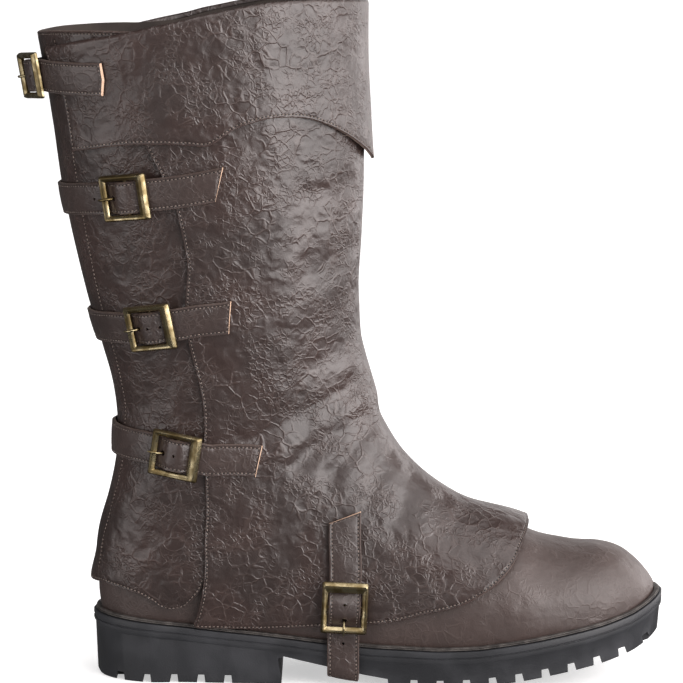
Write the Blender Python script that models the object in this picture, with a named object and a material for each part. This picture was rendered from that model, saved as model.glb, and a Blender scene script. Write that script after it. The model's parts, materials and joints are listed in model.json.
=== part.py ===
"""Buckled pirate boot, right foot: a lug-sole inner boot in a wrapped gaiter with a cuff and five straps.

Metres. +X points to the toe, -Y to the lateral side, +Z up. The origin is on the floor under the heel block.
"""

import math

import bmesh
import bpy
import numpy as np

# Driving sizes of the foot and shaft
SOLE_LENGTH = 0.308
HEEL_LENGTH = 0.100
BALL_WIDTH = 0.097
INSTEP_HEIGHT = 0.080
HEEL_HEIGHT = 0.0346
FOREFOOT_THICKNESS = 0.0202
TOE_SPRING = 0.024
SHAFT_HEIGHT = 0.343
RIM_RISE = 0.023
ANKLE_DEPTH = 0.128
ANKLE_WIDTH = 0.082
SHAFT_DEPTH = 0.169
SHAFT_WIDTH = 0.104

# Leather
UPPER_WALL = 0.0020
PANEL_THICKNESS = 0.0018
CUFF_THICKNESS = 0.0018
STRAP_THICKNESS = 0.0017
STRAP_WIDTH = 0.0170
LAYER_GAP = 0.0006
COLLAR_DROP = 0.0080
CUFF_FOLD = 0.0022

# Sole
LEDGE = 0.0045
WELT_WIDTH = 0.0030
WELT_THICKNESS = 0.0016
SEAT_GAP = 0.0004
INSOLE_THICKNESS = 0.0030
INSOLE_CLEARANCE = 0.0016
WELT_CLEARANCE = 0.0005
LUG_DEPTH = 0.0045
LUG_GROOVE = 0.0045
LUG_PITCH = 0.0140
SIDE_STEP = 0.0010
SIDE_STEP_HEIGHT = 0.0065
ARCH_RISE = 0.0155

# Buckles
BUCKLE_LENGTH = 0.0275
BUCKLE_WIDTH = 0.0245
BUCKLE_THICKNESS = 0.0032
BUCKLE_TAIL_BAR = 0.0055
BUCKLE_PRONG_BAR = 0.0038
BUCKLE_SIDE_BAR = 0.0031
CENTRE_BAR_RADIUS = 0.0008
PRONG_RADIUS = 0.0006
PRONG_SIDES = 5
PRONG_HOLE_RADIUS = 0.0015
FIT = 0.0003

# How the strap rides over the buckle's bar, and how the prong comes up
BAR_HEIGHT = 0.00075
BUMP_HEIGHT = 0.0034
BUMP_FLAT = 0.0044
BUMP_REACH = 0.0090
PRONG_HOLE_INSET = 0.0030

# Gaiter: how far its edges stand off what they cover
BACK_FLARE = 0.0022
FLAP_LIFT = 0.0048
HEM_LIFT = 0.0012
CUFF_FLARE = 0.0030

# Strap under the arch
FOOT_STRAP_ALONG = 0.433
FOOT_STRAP_CLEARANCE = 0.0014
FOOT_STRAP_LIFT = 0.0006
FOOT_STRAP_DROP = 0.0040
FOOT_BUCKLE_KNOT = 3.1

SIDE_DRAFT = 0.0010
HEEL_LUG_PITCH = 0.0145
HEEL_PAD = 0.030
LUG_BAND = 0.036
TREAD_START = 0.510
AROUND = 28
BACK_START_COLUMN = 6
OVERLAP_START = BACK_START_COLUMN * 360 / AROUND
FRONT_COLUMNS = 21
OUTLINE_POINTS = 72
END_CROWDING = 0.45
INSOLE_POINTS = 48
SEAT_TUCK = 0.018
WELD = 0.000001
RIM_SECTION = 29.0
HEEL_SECTION = 18.0

# Seat of the upper: share of the sole's length, share of the heel's extra height, share of the toe spring
SEAT_ROWS = (
    (0.000, 1.00, 0.00),
    (0.094, 0.86, 0.00),
    (0.146, 0.73, 0.00),
    (0.219, 0.57, 0.00),
    (0.279, 0.45, 0.00),
    (0.328, 0.34, 0.00),
    (0.400, 0.17, 0.00),
    (0.487, 0.04, 0.00),
    (0.594, 0.00, 0.00),
    (0.666, 0.00, 0.06),
    (0.756, 0.00, 0.24),
    (0.832, 0.00, 0.41),
    (0.883, 0.00, 0.53),
    (0.937, 0.00, 0.70),
    (0.989, 0.00, 0.96),
    (1.010, 0.00, 1.08),
)

# Sections of the foot, toe first. Shares of the sole's length: along, drop_back. Of the instep's height: top.
# Of the ball's width: swing, lateral, medial. Then the widest place and the powers of the two halves.
FOOT_SECTIONS = (
    (0.979, 0.000, 0.088, 0.036, 0.090, 0.103, 0.45, 2.20, 2.40),
    (0.969, 0.000, 0.161, 0.034, 0.172, 0.180, 0.45, 2.20, 2.40),
    (0.950, 0.000, 0.273, 0.030, 0.262, 0.256, 0.45, 2.20, 2.40),
    (0.922, 0.000, 0.380, 0.025, 0.345, 0.318, 0.45, 2.25, 2.40),
    (0.886, 0.000, 0.454, 0.018, 0.415, 0.368, 0.45, 2.30, 2.40),
    (0.841, 0.000, 0.497, 0.012, 0.472, 0.414, 0.45, 2.30, 2.40),
    (0.792, 0.000, 0.564, 0.006, 0.508, 0.450, 0.45, 2.20, 2.50),
    (0.744, 0.003, 0.664, 0.000, 0.527, 0.472, 0.44, 2.10, 2.60),
    (0.693, 0.011, 0.782, 0.000, 0.527, 0.472, 0.42, 2.00, 2.60),
    (0.644, 0.031, 0.891, 0.000, 0.510, 0.448, 0.40, 2.00, 2.60),
    (0.601, 0.062, 1.002, 0.000, 0.477, 0.404, 0.38, 2.00, 2.60),
    (0.563, 0.099, 1.114, 0.000, 0.443, 0.363, 0.36, 2.05, 2.60),
    (0.532, 0.149, 1.237, 0.000, 0.418, 0.347, 0.36, 2.10, 2.60),
    (0.508, 0.213, 1.373, 0.000, 0.402, 0.350, 0.37, 2.15, 2.60),
    (0.490, 0.289, 1.509, 0.000, 0.395, 0.360, 0.38, 2.20, 2.60),
)

# Sections of the ankle and shaft, upwards. front_rise: share from the bend to the rim's front. front_lean: share of
# the shaft's depth ahead of the shin line. back_rise: share from the heel's height to the shaft's. depth: share of
# the local depth. calf: how far that depth and width go from the ankle's to the shaft's. Then shares of the width.
SHAFT_SECTIONS = (
    (0.049, 0.041, -0.067, 0.854, 0.00, 0.458, 0.436, 0.40, 2.20, 2.50),
    (0.096, 0.023, -0.073, 1.041, 0.00, 0.455, 0.440, 0.42, 2.20, 2.40),
    (0.140, 0.006, 0.018, 1.100, 0.00, 0.455, 0.440, 0.44, 2.20, 2.30),
    (0.183, -0.008, 0.086, 1.100, 0.00, 0.459, 0.447, 0.45, 2.20, 2.20),
    (0.225, -0.013, 0.147, 1.083, 0.00, 0.470, 0.457, 0.46, 2.20, 2.20),
    (0.267, -0.015, 0.212, 1.038, 0.00, 0.488, 0.476, 0.47, 2.20, 2.15),
    (0.310, -0.017, 0.277, 1.007, 0.00, 0.506, 0.494, 0.47, 2.20, 2.10),
    (0.356, -0.015, 0.342, 0.977, 0.08, 0.513, 0.507, 0.47, 2.20, 2.10),
    (0.408, -0.010, 0.407, 0.966, 0.18, 0.518, 0.512, 0.47, 2.15, 2.10),
    (0.466, -0.006, 0.471, 0.970, 0.30, 0.519, 0.519, 0.47, 2.15, 2.10),
    (0.537, -0.002, 0.553, 0.987, 0.42, 0.521, 0.521, 0.47, 2.15, 2.10),
    (0.626, 0.000, 0.650, 0.996, 0.56, 0.520, 0.520, 0.47, 2.15, 2.10),
    (0.737, 0.000, 0.757, 1.001, 0.70, 0.518, 0.518, 0.47, 2.15, 2.10),
    (0.862, -0.002, 0.877, 0.999, 0.83, 0.514, 0.514, 0.47, 2.15, 2.10),
    (1.000, 0.000, 1.000, 1.013, 0.93, 0.508, 0.508, 0.47, 2.15, 2.10),
    (1.116, 0.001, 1.075, 1.022, 1.00, 0.505, 0.505, 0.47, 2.15, 2.10),
)
SHIN_ALONG = 0.462
TOE_TIP_ALONG = 0.982
TOE_TIP_RISE = 0.047

# Edge of the front panel, both sides: section number, degrees from the front line
FRONT_EDGE = (
    (6.86, 3.0),
    (6.90, 14.0),
    (6.97, 24.2),
    (7.10, 35.7),
    (7.32, 50.4),
    (7.77, 65.1),
    (8.35, 75.5),
    (8.97, 83.0),
    (9.97, 89.5),
    (11.19, 97.0),
    (12.40, 106.5),
    (13.32, 115.3),
    (14.29, 122.1),
    (14.80, 125.0),
    (14.92, 117.0),
    (15.23, 106.3),
    (15.71, 97.0),
    (16.13, 93.6),
    (17.13, 91.8),
    (18.13, 92.9),
    (19.81, 98.1),
    (20.77, 100.9),
    (21.74, 103.8),
    (23.16, 107.0),
    (24.19, 104.9),
    (25.19, 100.4),
    (26.16, 101.2),
    (26.87, 105.6),
    (27.40, 110.0),
    (30.00, 116.0),
)

# Edges of the back panel: degrees from the front line, section number of the lower edge and of the rim
BACK_EDGE = (
    (77.0, 16.30, 28.88),
    (98.0, 15.55, 28.93),
    (106.0, 15.34, 28.95),
    (113.0, 15.36, 28.98),
    (119.2, 16.20, 29.02),
    (134.6, 16.81, 29.09),
    (156.5, 17.35, 29.14),
    (180.0, 17.55, 29.14),
)
BACK_HEM_TOP = 19
CORNER_SKIP = 14.92

# Edges of the cuff: degrees from the front line, section number of the lower edge and of the rim
CUFF_EDGE = (
    (0.0, 25.84, 28.83),
    (6.0, 25.94, 28.83),
    (18.9, 26.26, 28.86),
    (30.9, 26.61, 28.92),
    (39.1, 26.84, 28.96),
    (46.1, 27.02, 29.00),
    (52.3, 27.15, 29.02),
    (60.8, 27.26, 29.06),
    (67.5, 27.31, 29.07),
    (73.4, 27.30, 29.06),
    (78.3, 27.27, 29.04),
    (85.0, 27.13, 29.01),
    (87.6, 27.09, 29.00),
    (92.2, 27.16, 28.96),
    (102.7, 27.28, 28.92),
    (116.9, 27.38, 28.87),
    (131.3, 27.41, 28.85),
    (143.4, 27.42, 28.82),
    (153.5, 27.42, 28.80),
)
# Columns of the cuff, in degrees at its lower edge
CUFF_COLUMNS = (0, 9, 19, 30, 40, 50, 60, 69, 78, 84, 87.6, 94, 106, 119, 132, 143.9)
# Rear end of the cuff: share of its height, degrees from the front line
CUFF_END = (
    (0.00, 143.9),
    (0.30, 144.7),
    (0.55, 145.4),
    (0.80, 150.4),
    (1.00, 153.0),
)

# Straps round the shaft: degrees from the front line, section number, layers of leather underneath
STRAP_ROWS = {
    "top": (
        (122.0, 28.35, 3.2),
        (137.8, 28.42, 3.2),
        (148.0, 28.46, 3.1),
        (158.0, 28.50, 2.9),
        (168.0, 28.51, 3.0),
        (180.0, 28.50, 4.2),
        (192.0, 28.48, 4.6),
        (202.0, 28.47, 4.2),
        (212.0, 28.46, 3.6),
        (222.2, 28.42, 3.3),
        (236.0, 28.38, 3.2),
    ),
    "upper": (
        (83.1, 26.38, 2.0),
        (98.1, 26.45, 2.0),
        (111.0, 26.53, 2.0),
        (120.6, 26.58, 1.4),
        (131.0, 26.63, 1.1),
        (150.0, 26.70, 1.0),
        (180.0, 26.74, 1.0),
        (210.0, 26.70, 1.0),
        (229.0, 26.63, 1.1),
        (239.4, 26.58, 1.4),
        (249.0, 26.53, 2.0),
        (261.9, 26.45, 2.0),
        (272.0, 26.40, 2.0),
    ),
    "middle": (
        (87.0, 23.25, 2.0),
        (99.5, 23.63, 2.0),
        (112.8, 23.88, 2.0),
        (122.1, 24.03, 1.4),
        (133.2, 24.16, 1.1),
        (150.0, 24.36, 1.0),
        (180.0, 24.50, 1.0),
        (210.0, 24.36, 1.0),
        (226.8, 24.16, 1.1),
        (237.9, 24.03, 1.4),
        (247.2, 23.88, 2.0),
        (260.5, 23.63, 2.0),
        (271.0, 23.32, 2.0),
    ),
    "lower": (
        (73.7, 17.00, 2.1),
        (84.4, 17.97, 2.1),
        (97.3, 19.06, 2.1),
        (110.6, 19.77, 1.6),
        (124.2, 20.40, 1.4),
        (139.3, 20.92, 1.4),
        (160.0, 21.34, 1.4),
        (180.0, 21.48, 1.4),
        (200.0, 21.34, 1.4),
        (220.7, 20.92, 1.4),
        (235.8, 20.40, 1.4),
        (249.4, 19.77, 1.6),
        (262.7, 19.06, 2.1),
        (275.6, 17.97, 2.1),
    ),
}
# Middle of each buckle, in degrees from the front line
BUCKLE_ANGLE = {"top": 167.5, "upper": 120.6, "middle": 122.1, "lower": 110.6}
# How far the tail's edges and middle are cut back
TAIL_CUT = {
    "top": (0.0012, 0.0, 0.0012),
    "upper": (0.0076, 0.0038, 0.0),
    "middle": (0.0046, 0.0023, 0.0),
    "lower": (0.0014, 0.0007, 0.0),
    "foot": (0.0, 0.0033, 0.0066),
}
# Strap under the arch on the front panel: section number, degrees from the front line
FOOT_STRAP_ROWS = (
    (13.16, 61.5),
    (12.71, 70.5),
    (12.32, 79.4),
    (11.97, 90.5),
    (11.84, 98.0),
)

# Material: colour, roughness, metallic
FINISH = {
    "rubber": ((0.045, 0.046, 0.052, 1.0), 0.62, 0.0),
    "welt": ((0.115, 0.095, 0.085, 1.0), 0.70, 0.0),
    "board": ((0.42, 0.33, 0.24, 1.0), 0.90, 0.0),
    "leather": ((0.085, 0.062, 0.055, 1.0), 0.50, 0.0),
    "strap": ((0.095, 0.070, 0.062, 1.0), 0.50, 0.0),
    "brass": ((0.42, 0.33, 0.14, 1.0), 0.32, 1.0),
}


def clear_scene():
    for obj in list(bpy.data.objects):
        bpy.data.objects.remove(obj)


def material(name):
    found = bpy.data.materials.get(name)
    if found:
        return found
    colour, roughness, metallic = FINISH[name]
    made = bpy.data.materials.new(name)
    made.use_nodes = True
    shader = made.node_tree.nodes["Principled BSDF"]
    shader.inputs["Base Color"].default_value = colour
    shader.inputs["Roughness"].default_value = roughness
    shader.inputs["Metallic"].default_value = metallic
    return made


def add_object(name, verts, faces, finish, smooth_angle=35.0):
    mesh = bpy.data.meshes.new(name)
    mesh.from_pydata([tuple(v) for v in verts], [], faces)
    mesh.materials.append(material(finish))
    obj = bpy.data.objects.new(name, mesh)
    bpy.context.collection.objects.link(obj)
    face_out(mesh)
    mesh.shade_smooth()
    mesh.set_sharp_from_angle(angle=math.radians(smooth_angle))
    return obj


def face_out(mesh):
    """Turns the closed mesh's faces outwards."""
    bm = bmesh.new()
    bm.from_mesh(mesh)
    bmesh.ops.recalc_face_normals(bm, faces=bm.faces)
    if bm.calc_volume(signed=True) < 0:
        bmesh.ops.reverse_faces(bm, faces=bm.faces)
    bm.to_mesh(mesh)
    bm.free()


def cut(obj, cutter, operation="DIFFERENCE"):
    """Applies one exact Boolean with a helper object, then removes the helper."""
    modifier = obj.modifiers.new("cut", "BOOLEAN")
    modifier.operation = operation
    modifier.solver = "EXACT"
    modifier.object = cutter
    graph = bpy.context.evaluated_depsgraph_get()
    made = bpy.data.meshes.new_from_object(obj.evaluated_get(graph))
    obj.modifiers.remove(modifier)
    obj.data = made
    bpy.data.objects.remove(cutter)
    weld(made)


def weld(mesh):
    """Joins the vertices that a Boolean leaves within a micron of each other."""
    bm = bmesh.new()
    bm.from_mesh(mesh)
    bmesh.ops.remove_doubles(bm, verts=bm.verts, dist=WELD)
    bm.to_mesh(mesh)
    bm.free()


def along(share):
    """Place on the sole's length, from the heel's back."""
    return share * SOLE_LENGTH - HEEL_LENGTH / 2


def seat_height(x):
    """Height of the sole's top, where the upper sits, at a place along the sole."""
    rows = np.array(SEAT_ROWS)
    heights = (
        FOREFOOT_THICKNESS
        + (HEEL_HEIGHT - FOREFOOT_THICKNESS) * rows[:, 1]
        + TOE_SPRING * rows[:, 2]
    )
    return np.interp((np.asarray(x, float) + HEEL_LENGTH / 2) / SOLE_LENGTH, rows[:, 0], heights)


def tread_height(x):
    """Height of the forefoot's lowest surface: flat under the ball, rising with the toe spring."""
    rows = np.array(SEAT_ROWS)
    share = (np.asarray(x, float) + HEEL_LENGTH / 2) / SOLE_LENGTH
    return TOE_SPRING * np.interp(share, rows[:, 0], rows[:, 2])


def section_rows():
    """Each section as front x and z, back x and z, swing, half widths, widest place and powers."""
    rows = []
    for share, drop, top, swing, lateral, medial, widest, top_power, under_power in FOOT_SECTIONS:
        front = along(share)
        back = along(share - drop)
        rows.append(
            (
                front,
                seat_height(front) + top * INSTEP_HEIGHT,
                back,
                seat_height(back) - SEAT_TUCK,
                swing * BALL_WIDTH,
                lateral * BALL_WIDTH,
                medial * BALL_WIDTH,
                widest,
                top_power,
                under_power,
            )
        )
    bend = rows[-1][1]
    rim = SHAFT_HEIGHT + RIM_RISE
    for rise, lean, back_rise, depth, calf, lateral, medial, widest, power, back_power in SHAFT_SECTIONS:
        local_depth = ANKLE_DEPTH + calf * (SHAFT_DEPTH - ANKLE_DEPTH)
        local_width = ANKLE_WIDTH + calf * (SHAFT_WIDTH - ANKLE_WIDTH)
        rows.append(
            (
                along(SHIN_ALONG) + lean * SHAFT_DEPTH,
                bend + rise * (rim - bend),
                along(SHIN_ALONG) - depth * local_depth,
                HEEL_HEIGHT + back_rise * (SHAFT_HEIGHT - HEEL_HEIGHT),
                0.0,
                lateral * local_width,
                medial * local_width,
                widest,
                power,
                back_power,
            )
        )
    return np.array(rows)


SECTIONS = section_rows()
LAST_SECTION = len(SECTIONS) - 1


def spline(table, place):
    """Smooth curve through evenly numbered rows."""
    place = np.clip(np.asarray(place, float), 0, len(table) - 1)
    start = np.minimum(place.astype(int), len(table) - 2)
    t = (place - start)[..., None]
    first = table[start]
    second = table[start + 1]
    before = np.where((start > 0)[..., None], table[np.maximum(start - 1, 0)], 2 * first - second)
    last = len(table) - 1
    after = np.where(
        (start + 2 <= last)[..., None], table[np.minimum(start + 2, last)], 2 * second - first
    )
    return 0.5 * (
        2 * first
        + (second - before) * t
        + (2 * before - 5 * first + 4 * second - after) * t * t
        + (3 * first - before - 3 * second + after) * t**3
    )


def through(rows, key, column=1):
    """Value of one column at a key, on a smooth curve through the rows that doesn't overshoot them."""
    table = np.array(rows, float)
    keys = table[:, 0]
    values = table[:, column]
    slopes = np.diff(values) / np.diff(keys)
    tangent = np.concatenate([slopes[:1], np.zeros(len(slopes) - 1), slopes[-1:]])
    before = slopes[:-1]
    after = slopes[1:]
    same = before * after > 0
    mean = np.where(same, 2 * before * after / np.where(same, before + after, 1.0), 0.0)
    tangent[1:-1] = mean
    key = np.clip(np.asarray(key, float), keys[0], keys[-1])
    i = np.clip(np.searchsorted(keys, key, side="right") - 1, 0, len(slopes) - 1)
    width = keys[i + 1] - keys[i]
    t = (key - keys[i]) / width
    return (
        values[i] * (1 + 2 * t) * (1 - t) ** 2
        + tangent[i] * width * t * (1 - t) ** 2
        + values[i + 1] * t * t * (3 - 2 * t)
        + tangent[i + 1] * width * t * t * (t - 1)
    )


def form_point(section, angle):
    """Point of the upper's outer surface. Angle 0 is the front or top line, +90 degrees the lateral side."""
    section, angle = np.broadcast_arrays(np.asarray(section, float), np.asarray(angle, float))
    rows = spline(SECTIONS, section)
    front_x, front_z, back_x, back_z, swing, lateral, medial, widest, power, back_power = np.moveaxis(
        rows, -1, 0
    )
    cosine = np.cos(angle)
    sine = np.sin(angle)
    used = np.where(cosine >= 0, power, back_power)
    reach = np.sign(cosine) * np.abs(cosine) ** (2 / used)
    share = np.where(cosine >= 0, widest + (1 - widest) * reach, widest * (1 + reach))
    across = np.abs(sine) ** (2 / used) * np.where(sine >= 0, -lateral, medial)
    return np.stack(
        [
            back_x + (front_x - back_x) * share,
            swing + across,
            back_z + (front_z - back_z) * share,
        ],
        -1,
    )


def form_normal(section, angle):
    step = 1e-3
    section = np.clip(np.asarray(section, float), step, LAST_SECTION - step)
    up = form_point(section + step, angle) - form_point(section - step, angle)
    round_it = form_point(section, angle + step) - form_point(section, angle - step)
    normal = np.cross(up, round_it)
    return normal / np.linalg.norm(normal, axis=-1, keepdims=True)


def lifted(section, angle, lift):
    """Point at a distance outside the upper's surface."""
    section, angle, lift = np.broadcast_arrays(section, angle, lift)
    return form_point(section, angle) + form_normal(section, angle) * lift[..., None]


def layer_lift(layers):
    """Clear distance outside the upper when this many layers of leather lie underneath."""
    return LAYER_GAP + np.asarray(layers, float) * (PANEL_THICKNESS + LAYER_GAP)


def smooth_step(low, high, value):
    t = np.clip((np.asarray(value, float) - low) / (high - low), 0, 1)
    return t * t * (3 - 2 * t)


def closed_patch(name, outer, inner, finish):
    """Solid between two grids of points that share their rows and columns."""
    rows, columns = outer.shape[:2]
    verts = np.concatenate([outer.reshape(-1, 3), inner.reshape(-1, 3)])
    count = rows * columns
    faces = []
    for i in range(rows - 1):
        for j in range(columns - 1):
            a = i * columns + j
            b = a + 1
            c = a + columns + 1
            d = a + columns
            faces.append((a, b, c, d))
            faces.append((count + d, count + c, count + b, count + a))
    rim = [j for j in range(columns)]
    rim += [i * columns + columns - 1 for i in range(1, rows)]
    rim += [(rows - 1) * columns + j for j in range(columns - 2, -1, -1)]
    rim += [i * columns for i in range(rows - 2, 0, -1)]
    for k, a in enumerate(rim):
        b = rim[(k + 1) % len(rim)]
        faces.append((b, a, count + a, count + b))
    return add_object(name, verts, faces, finish)


def ring_grid(sections, lift):
    """Closed rings of points, one for each section number."""
    angles = np.linspace(0, 2 * math.pi, AROUND, endpoint=False)
    return lifted(np.asarray(sections)[:, None], angles[None, :], lift)


def toe_tip(inset):
    return np.array([along(TOE_TIP_ALONG) - inset, FOOT_SECTIONS[0][3] * BALL_WIDTH, TOE_TIP_RISE])


def section_shift(distance):
    """How far a section number goes for a distance along the top of the shaft."""
    return distance / (SECTIONS[-1][1] - SECTIONS[-2][1])


def tube_faces(rings, columns, start, flip):
    faces = []
    for i in range(rings - 1):
        for j in range(columns):
            a = start + i * columns + j
            b = start + i * columns + (j + 1) % columns
            quad = (a, b, b + columns, a + columns)
            faces.append(quad[::-1] if flip else quad)
    return faces


def build_upper():
    """Inner boot: a wall closed at the toe and open at the collar, then opened underneath along its seat."""
    collar = RIM_SECTION - section_shift(COLLAR_DROP)
    sections = np.append(np.arange(0, int(collar)), collar)
    rings = len(sections)
    outer = ring_grid(sections, 0.0)
    inner = ring_grid(sections, -UPPER_WALL)
    verts = np.concatenate(
        [outer.reshape(-1, 3), inner.reshape(-1, 3), [toe_tip(0.0)], [toe_tip(UPPER_WALL)]]
    )
    count = rings * AROUND
    top = count - AROUND
    faces = tube_faces(rings, AROUND, 0, False) + tube_faces(rings, AROUND, count, True)
    for j in range(AROUND):
        k = (j + 1) % AROUND
        faces.append((2 * count, k, j))
        faces.append((2 * count + 1, count + j, count + k))
        faces.append((top + j, top + k, count + top + k, count + top + j))
    upper = add_object("upper", verts, faces, "leather")
    cut(upper, below_seat("seat_cutter", SEAT_GAP))
    return upper


def below_seat(name, clearance):
    """Helper that fills the space under the seat."""
    xs = np.linspace(along(-0.15), along(1.15), 40)
    profile = [(x, float(seat_height(x)) + clearance) for x in xs]
    profile += [(xs[-1], -SEAT_TUCK), (xs[0], -SEAT_TUCK)]
    return profile_block(name, profile, -BALL_WIDTH, BALL_WIDTH)


def profile_block(name, profile, low, high):
    """Helper block: an outline in X and Z, drawn out from one Y to another."""
    count = len(profile)
    verts = [(x, low, z) for x, z in profile] + [(x, high, z) for x, z in profile]
    faces = [tuple(range(count)), tuple(range(2 * count - 1, count - 1, -1))]
    faces += [(i, (i + 1) % count, count + (i + 1) % count, count + i) for i in range(count)]
    helper = add_object(name, verts, faces, "rubber")
    helper.hide_render = True
    helper.display_type = "WIRE"
    return helper


def upper_outline(rise, lift=0.0, count=OUTLINE_POINTS):
    """The upper's outline at a height over its seat, from the toe round the lateral side and back."""
    angles = np.linspace(0, math.pi, 181)
    sides = []
    for side in (1, -1):
        points = []
        for section in np.linspace(0, HEEL_SECTION, 181):
            ring = lifted(np.full_like(angles, section), angles * side, lift)
            height = ring[:, 2] - seat_height(ring[:, 0]) - rise
            crossing = np.nonzero((height[:-1] >= 0) & (height[1:] < 0))[0]
            if len(crossing):
                k = crossing[0]
                t = height[k] / (height[k] - height[k + 1])
                points.append(ring[k] * (1 - t) + ring[k + 1] * t)
        sides.append(np.array(points)[:, :2])
    toe = toe_tip(-lift)[None, :2]
    back = lifted(np.linspace(HEEL_SECTION - 4, HEEL_SECTION, 201), math.pi, lift)
    above = back[:, 2] - seat_height(back[:, 0]) - rise
    heel = np.array([[np.interp(0.0, above, back[:, 0]), 0.0]])
    lateral = spaced_line(np.concatenate([toe, sides[0], heel]), count // 2)
    medial = spaced_line(np.concatenate([toe, sides[1], heel]), count // 2)
    return np.concatenate([lateral, medial[-2:0:-1]])


def spaced_line(line, steps):
    """Open 2-D line resampled, with shorter steps towards its two ends."""
    length = np.concatenate([[0], np.cumsum(np.linalg.norm(np.diff(line, axis=0), axis=1))])
    share = np.linspace(0, 1, steps + 1)
    share = share + END_CROWDING * ((1 - np.cos(math.pi * share)) / 2 - share)
    return np.stack([np.interp(share * length[-1], length, line[:, k]) for k in (0, 1)], 1)


def grown(loop, distance):
    """Closed 2-D loop moved outwards by a distance."""
    ahead = np.roll(loop, -1, axis=0) - np.roll(loop, 1, axis=0)
    ahead /= np.linalg.norm(ahead, axis=1, keepdims=True)
    area = np.sum(loop[:, 0] * np.roll(loop[:, 1], -1) - np.roll(loop[:, 0], -1) * loop[:, 1])
    outward = np.stack([ahead[:, 1], -ahead[:, 0]], 1) * (1 if area > 0 else -1)
    return loop + outward * distance


def loop_solid(name, loops, finish):
    """Solid through stacked loops of one point count, capped by strips that join its two sides."""
    count = len(loops[0])
    verts = np.concatenate(loops)
    faces = tube_faces(len(loops), count, 0, False)
    last = (len(loops) - 1) * count
    for start, flip in ((0, True), (last, False)):
        for i in range(count // 2):
            quad = (
                start + i,
                start + i + 1,
                start + (count - i - 1) % count,
                start + (count - i) % count,
            )
            quad = tuple(dict.fromkeys(quad))
            faces.append(quad[::-1] if flip else quad)
    return add_object(name, verts, faces, finish)


def raised(loop, height_of):
    return np.column_stack([loop, height_of(loop[:, 0])])


def box_verts(centre, size, slope=0.0):
    """Corners of a block, turned about Y by a slope."""
    verts = []
    for sx, sy, sz in (
        (-1, -1, -1), (1, -1, -1), (1, 1, -1), (-1, 1, -1),
        (-1, -1, 1), (1, -1, 1), (1, 1, 1), (-1, 1, 1),
    ):
        x = sx * size[0] / 2
        z = sz * size[2] / 2
        verts.append(
            (
                centre[0] + x * math.cos(slope) - z * math.sin(slope),
                centre[1] + sy * size[1] / 2,
                centre[2] + x * math.sin(slope) + z * math.cos(slope),
            )
        )
    return verts


BOX_FACES = ((0, 3, 2, 1), (4, 5, 6, 7), (0, 1, 5, 4), (1, 2, 6, 5), (2, 3, 7, 6), (3, 0, 4, 7))


def boxes_object(name, boxes):
    """Helper that holds several separate blocks."""
    verts = []
    faces = []
    for box in boxes:
        faces += [tuple(len(verts) + k for k in face) for face in BOX_FACES]
        verts += box
    helper = add_object(name, verts, faces, "rubber")
    helper.hide_render = True
    helper.display_type = "WIRE"
    return helper


def lug_slot(x, low, high):
    """One slot across part of the tread, as deep as the lugs, following the toe spring."""
    rise = float(tread_height(x))
    slope = math.atan2(float(tread_height(x + LUG_GROOVE)) - float(tread_height(x - LUG_GROOVE)), 2 * LUG_GROOVE)
    depth = 2 * LUG_DEPTH
    return box_verts((x, (low + high) / 2, rise), (LUG_GROOVE, high - low, depth), slope)


def arch_line():
    """Underside of the arch in X and Z, from the heel's breast to the tread."""
    breast = HEEL_LENGTH / 2
    return [
        (breast - 0.1 * ARCH_RISE, 0.9 * ARCH_RISE),
        (breast + 0.07 * ARCH_RISE, ARCH_RISE),
        (along(0.36), ARCH_RISE * 0.86),
        (along(0.40), ARCH_RISE * 0.69),
        (along(0.47), ARCH_RISE * 0.41),
        (along(TREAD_START), LUG_DEPTH),
    ]


def build_outsole():
    """Rubber unit: ledge, stepped side, heel block, arch, toe spring and lugs."""
    ledge = grown(upper_outline(0.0), LEDGE)
    step = grown(ledge, -SIDE_STEP)
    foot = grown(ledge, -SIDE_STEP - SIDE_DRAFT)

    def below(drop):
        return lambda x: np.maximum(seat_height(x) - drop, tread_height(x) + LUG_DEPTH)

    loops = [
        raised(foot, tread_height),
        raised(step, below(SIDE_STEP_HEIGHT + SIDE_STEP)),
        raised(ledge, below(SIDE_STEP_HEIGHT)),
        raised(ledge, seat_height),
    ]
    outsole = loop_solid("outsole", loops, "rubber")
    arch = [(HEEL_LENGTH / 2 + 0.001, -LUG_DEPTH)] + arch_line() + [(arch_line()[-1][0] + 0.001, -LUG_DEPTH)]
    cut(outsole, profile_block("arch_cutter", arch, -BALL_WIDTH, BALL_WIDTH))
    side = BALL_WIDTH
    slots = []
    for k in range(-3, 2):
        x = (k + 0.5) * HEEL_LUG_PITCH
        slots.append(lug_slot(x, -side, -HEEL_PAD / 2))
        slots.append(lug_slot(x, HEEL_PAD / 2, side))
    x = along(TREAD_START) + LUG_PITCH
    while x < along(1.0) - 0.4 * LUG_PITCH:
        slots.append(lug_slot(x, -side, -LUG_BAND / 2))
        slots.append(lug_slot(x, LUG_BAND / 2, side))
        if x < along(0.93):
            slots.append(lug_slot(x + LUG_PITCH / 2, -LUG_BAND / 2 + 0.003, LUG_BAND / 2 - 0.003))
        x += LUG_PITCH
    cut(outsole, boxes_object("lug_cutter", slots))
    return outsole


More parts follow.
